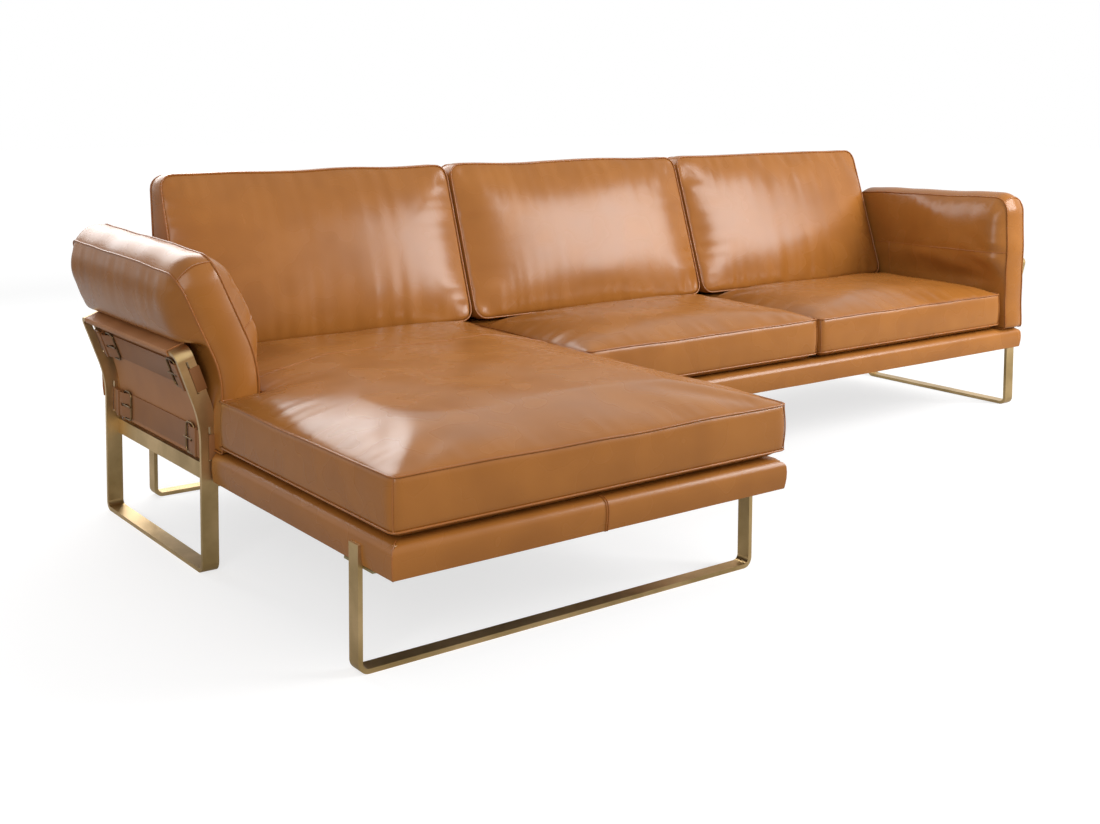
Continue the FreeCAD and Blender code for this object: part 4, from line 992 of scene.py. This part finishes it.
def makeSling(side):
    look = slingLook
    lo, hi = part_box(side + "_arm_sling")
    path = slingPath()
    width = hi.y - lo.y
    clearSelection()
    bpy.ops.mesh.primitive_grid_add(
        x_subdivisions=round(width / mm / look["gridMm"]), y_subdivisions=len(path) - 1, size=1, location=(0.5, 0.5, 0)
    )
    sheet = bpy.context.object
    sheet.name = side + "_arm_leather_sling"
    bpy.ops.object.transform_apply()
    for v in sheet.data.vertices:
        x, z = path[round(v.co.y * (len(path) - 1))]
        y = lo.y + v.co.x * width
        v.co = Vector((sideX(side, x), y, z * mm))
    outward(sheet)
    wall = sheet.modifiers.new("wall", "SOLIDIFY")
    wall.thickness = look["thick"] * mm
    wall.offset = 0
    bpy.ops.object.modifier_apply(modifier=wall.name)
    sheet.data.materials.append(slingHide)
    bpy.ops.object.shade_smooth_by_angle(angle=math.radians(look["sharp"]))
    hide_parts(side + "_arm_sling")
    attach(sheet, "sofa")
    print(side, "sling done")


makeSling("left")
makeSling("right")


# Belts, loops and keepers: cut straps with their edges burnished round

strapLook = {"round": 0.7, "roundFacets": 2, "faceted": 2.0, "weld": 0.02, "sharp": 50, "shaded": 40}


def leatherStrap(node):
    look = strapLook
    source = frame["nodes"][node]
    strap = bpy.data.objects.new(node + "_strap", source.data.copy())
    strap.matrix_world = source.matrix_world
    scene.collection.objects.link(strap)
    pick(strap)
    bpy.ops.object.transform_apply()
    editMode()
    bpy.ops.mesh.select_all(action="SELECT")
    bpy.ops.mesh.remove_doubles(threshold=look["weld"] * mm)
    bpy.ops.mesh.dissolve_limited(angle_limit=math.radians(look["faceted"]))
    bpy.ops.mesh.select_mode(type="EDGE")
    bpy.ops.mesh.select_all(action="DESELECT")
    bpy.ops.mesh.edges_select_sharp(sharpness=math.radians(look["sharp"]))
    bpy.ops.mesh.bevel(offset=look["round"] * mm, segments=look["roundFacets"], affect="EDGES", clamp_overlap=True)
    objectMode()
    outward(strap)
    bpy.ops.object.shade_smooth_by_angle(angle=math.radians(look["shaded"]))
    setMaterial(strap, beltHide)
    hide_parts(node)
    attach(strap, "sofa")


for side in ("left", "right"):
    for item in ("upper_belt", "lower_belt", "belt_loops", "keepers"):
        leatherStrap(side + "_arm_" + item)
print("straps done")


# Thread that closes the sling's sleeve, and seams of the wrapped rails

sewing = {
    "longMm": 5, "pitchMm": 7.5, "thickMm": 0.7, "sides": 6, "tipMm": 0.28, "alongLean": 95, "sunk": 0.2, "fromEnd": 8,
    "shaded": 40,
}


def sewSleeve(side):
    look = sewing
    lo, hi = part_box(side + "_arm_sling")
    outX, high = slingPoint(slingLook["hem"] - slingLook["thick"] / 2 - look["sunk"], look["alongLean"])
    clearSelection()
    start = Vector((sideX(side, outX), lo.y + look["fromEnd"] * mm, high * mm))
    bpy.ops.mesh.primitive_cylinder_add(
        vertices=look["sides"], radius=look["thickMm"] * mm, depth=look["longMm"] * mm, location=start,
        rotation=(math.radians(90), 0, 0),
    )
    stitch = bpy.context.object
    stitch.name = side + "_arm_sleeve_stitching"
    bpy.ops.object.transform_apply()
    editMode()
    bpy.ops.mesh.select_all(action="SELECT")
    bpy.ops.mesh.bevel(offset=look["tipMm"] * mm, segments=1, affect="EDGES")
    objectMode()
    row = stitch.modifiers.new("row", "ARRAY")
    row.use_relative_offset = False
    row.use_constant_offset = True
    row.constant_offset_displace = (0, look["pitchMm"] * mm, 0)
    row.count = int((hi.y - lo.y - 2 * look["fromEnd"] * mm) / (look["pitchMm"] * mm))
    bpy.ops.object.modifier_apply(modifier=row.name)
    bpy.ops.object.shade_smooth_by_angle(angle=math.radians(look["shaded"]))
    stitch.data.materials.append(thread)
    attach(stitch, "sofa")


sewSleeve("left")
sewSleeve("right")


def seamLine(name, points, radius):
    curve = bpy.data.curves.new(name, "CURVE")
    curve.dimensions = "3D"
    line = curve.splines.new("POLY")
    line.points.add(len(points) - 1)
    for spot, point in zip(line.points, points):
        spot.co = (*point, 1)
    cord = bpy.data.objects.new(name, curve)
    scene.collection.objects.link(cord)
    thicken(cord, radius)
    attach(cord, "sofa")


def railSection(spread, low, high):
    # one way round the front of a rail, from its underside to its top: distance out and height
    under, over = railLook["edge"], railLook["top"]
    turns = [k * math.pi / 16 for k in range(9)]
    section = [(-under + under * math.sin(t), low + under - under * math.cos(t)) for t in turns]
    section += [(0.0, low + under + (high - over - low - under) * k / 6) for k in range(1, 6)]
    section += [(-over + over * math.cos(t), high - over + over * math.sin(t)) for t in turns]
    return [(x + spread + railLook["belly"] * math.sin(math.pi * (z - low) / (high - low)), z) for x, z in section]


railSeams = {"front": (500.5, 505.5), "frontMm": 1.5, "frontOut": 0.3, "cornerMm": 1.3, "cornerOut": -0.7}
railLow, railHigh = chaiseLo.z / mm, chaiseHi.z / mm
front = railSection(railSeams["frontOut"], railLow, railHigh)
for k, aside in enumerate(railSeams["front"]):
    path = [place(aside, -out, z) for out, z in front]
    seamLine(f"chaise_rail_front_seam_{k + 1}", path, railSeams["frontMm"])
corner = railSection(railSeams["cornerOut"], railLow, railHigh)
seamLine("chaise_rail_corner_seam", [place(-out, -out, z) for out, z in corner], railSeams["cornerMm"])
print("seams done")


# Camera, from the photograph's straight edges

photoCamera = {
    "fromCorner": (-1277.7, -2170.6, 1122.0), "turn": -36.93, "tip": -4.45, "roll": 0.32,
    "lens": 46.11, "shift": -0.1995, "sees": 60,
}
cameraData = bpy.data.cameras.new("photoCamera")
camera = bpy.data.objects.new("photoCamera", cameraData)
scene.collection.objects.link(camera)
scene.camera = camera
cameraData.lens = photoCamera["lens"]
cameraData.shift_y = photoCamera["shift"]
cameraData.clip_end = photoCamera["sees"]
camera.matrix_world = (
    Matrix.Translation(place(*photoCamera["fromCorner"]))
    @ Matrix.Rotation(math.radians(photoCamera["turn"]), 4, "Z")
    @ Matrix.Rotation(math.radians(90 + photoCamera["tip"]), 4, "X")
    @ Matrix.Rotation(math.radians(photoCamera["roll"]), 4, "Z")
)

# Studio: white room, a soft key from the front right, one softbox behind, a faint one above, a fill by the camera

studio = {
    "ambient": 0.37, "roomSeen": 1.0, "floorSize": 40, "floorColor": "#A3A3A3", "floorRoughness": 0.9,
    "floorSeen": 0.69, "floorFar": 0.9, "fade": (2.6, 7.0), "floorMirrored": 0.16,
    "lights": (
        ("keySoftbox", (4300, -1700, 2300), (1600, 1000, 500), 2.2, 205),
        ("rearSoftbox", (500, 3600, 2500), (500, 800, 430), 2.6, 95),
        ("topSoftbox", (1500, 300, 3800), (1500, 900, 400), 3.4, 6),
        ("cameraFill", (-2500, -2600, 1900), (1000, 900, 450), 2.6, 100),
    ),
}


def buildStudio():
    world = bpy.data.worlds.new("whiteRoom")
    scene.world = world
    world.use_nodes = True
    tree = world.node_tree
    rays = addNode(tree, "ShaderNodeLightPath")
    seen = combine(tree, "MAXIMUM", rays.outputs["Is Camera Ray"], rays.outputs["Is Glossy Ray"])
    seenThrough = combine(tree, "MAXIMUM", seen, rays.outputs["Is Transmission Ray"])
    strength = mapRange(tree, seenThrough, (0.0, 1.0), (studio["ambient"], studio["roomSeen"]))
    tree.links.new(strength, tree.nodes["Background"].inputs["Strength"])
    tree.nodes["Background"].inputs["Color"].default_value = (1, 1, 1, 1)
    clearSelection()
    bpy.ops.mesh.primitive_plane_add(size=studio["floorSize"], location=(0, 0, 0))
    floor = bpy.context.object
    floor.name = "studioFloor"
    material, tree, shader, where = startMaterial("paintedStudioFloor")
    shader.inputs["Base Color"].default_value = linearColor(studio["floorColor"])
    shader.inputs["Roughness"].default_value = studio["floorRoughness"]
    shader.inputs["Specular IOR Level"].default_value = 0.0
    shader.inputs["Emission Color"].default_value = (1, 1, 1, 1)
    rays = addNode(tree, "ShaderNodeLightPath")
    away = addNode(tree, "ShaderNodeVectorMath", {0: where}, operation="LENGTH")
    ends = (studio["floorSeen"], studio["floorFar"])
    seen = mapRange(tree, away.outputs["Value"], studio["fade"], ends, interpolation_type="SMOOTHSTEP")
    direct = combine(tree, "MULTIPLY", rays.outputs["Is Camera Ray"], seen)
    mirrored = combine(tree, "MAXIMUM", rays.outputs["Is Glossy Ray"], rays.outputs["Is Transmission Ray"])
    faint = combine(tree, "MULTIPLY", mirrored, studio["floorMirrored"])
    tree.links.new(combine(tree, "MAXIMUM", direct, faint), shader.inputs["Emission Strength"])
    floor.data.materials.append(material)
    for name, spot, aim, size, power in studio["lights"]:
        lamp = bpy.data.lights.new(name, "AREA")
        lamp.shape = "SQUARE"
        lamp.size = size
        lamp.energy = power
        light = bpy.data.objects.new(name, lamp)
        scene.collection.objects.link(light)
        light.location = place(*spot)
        light.rotation_euler = (place(*aim) - light.location).to_track_quat("-Z", "Y").to_euler()


buildStudio()
print("studio done")
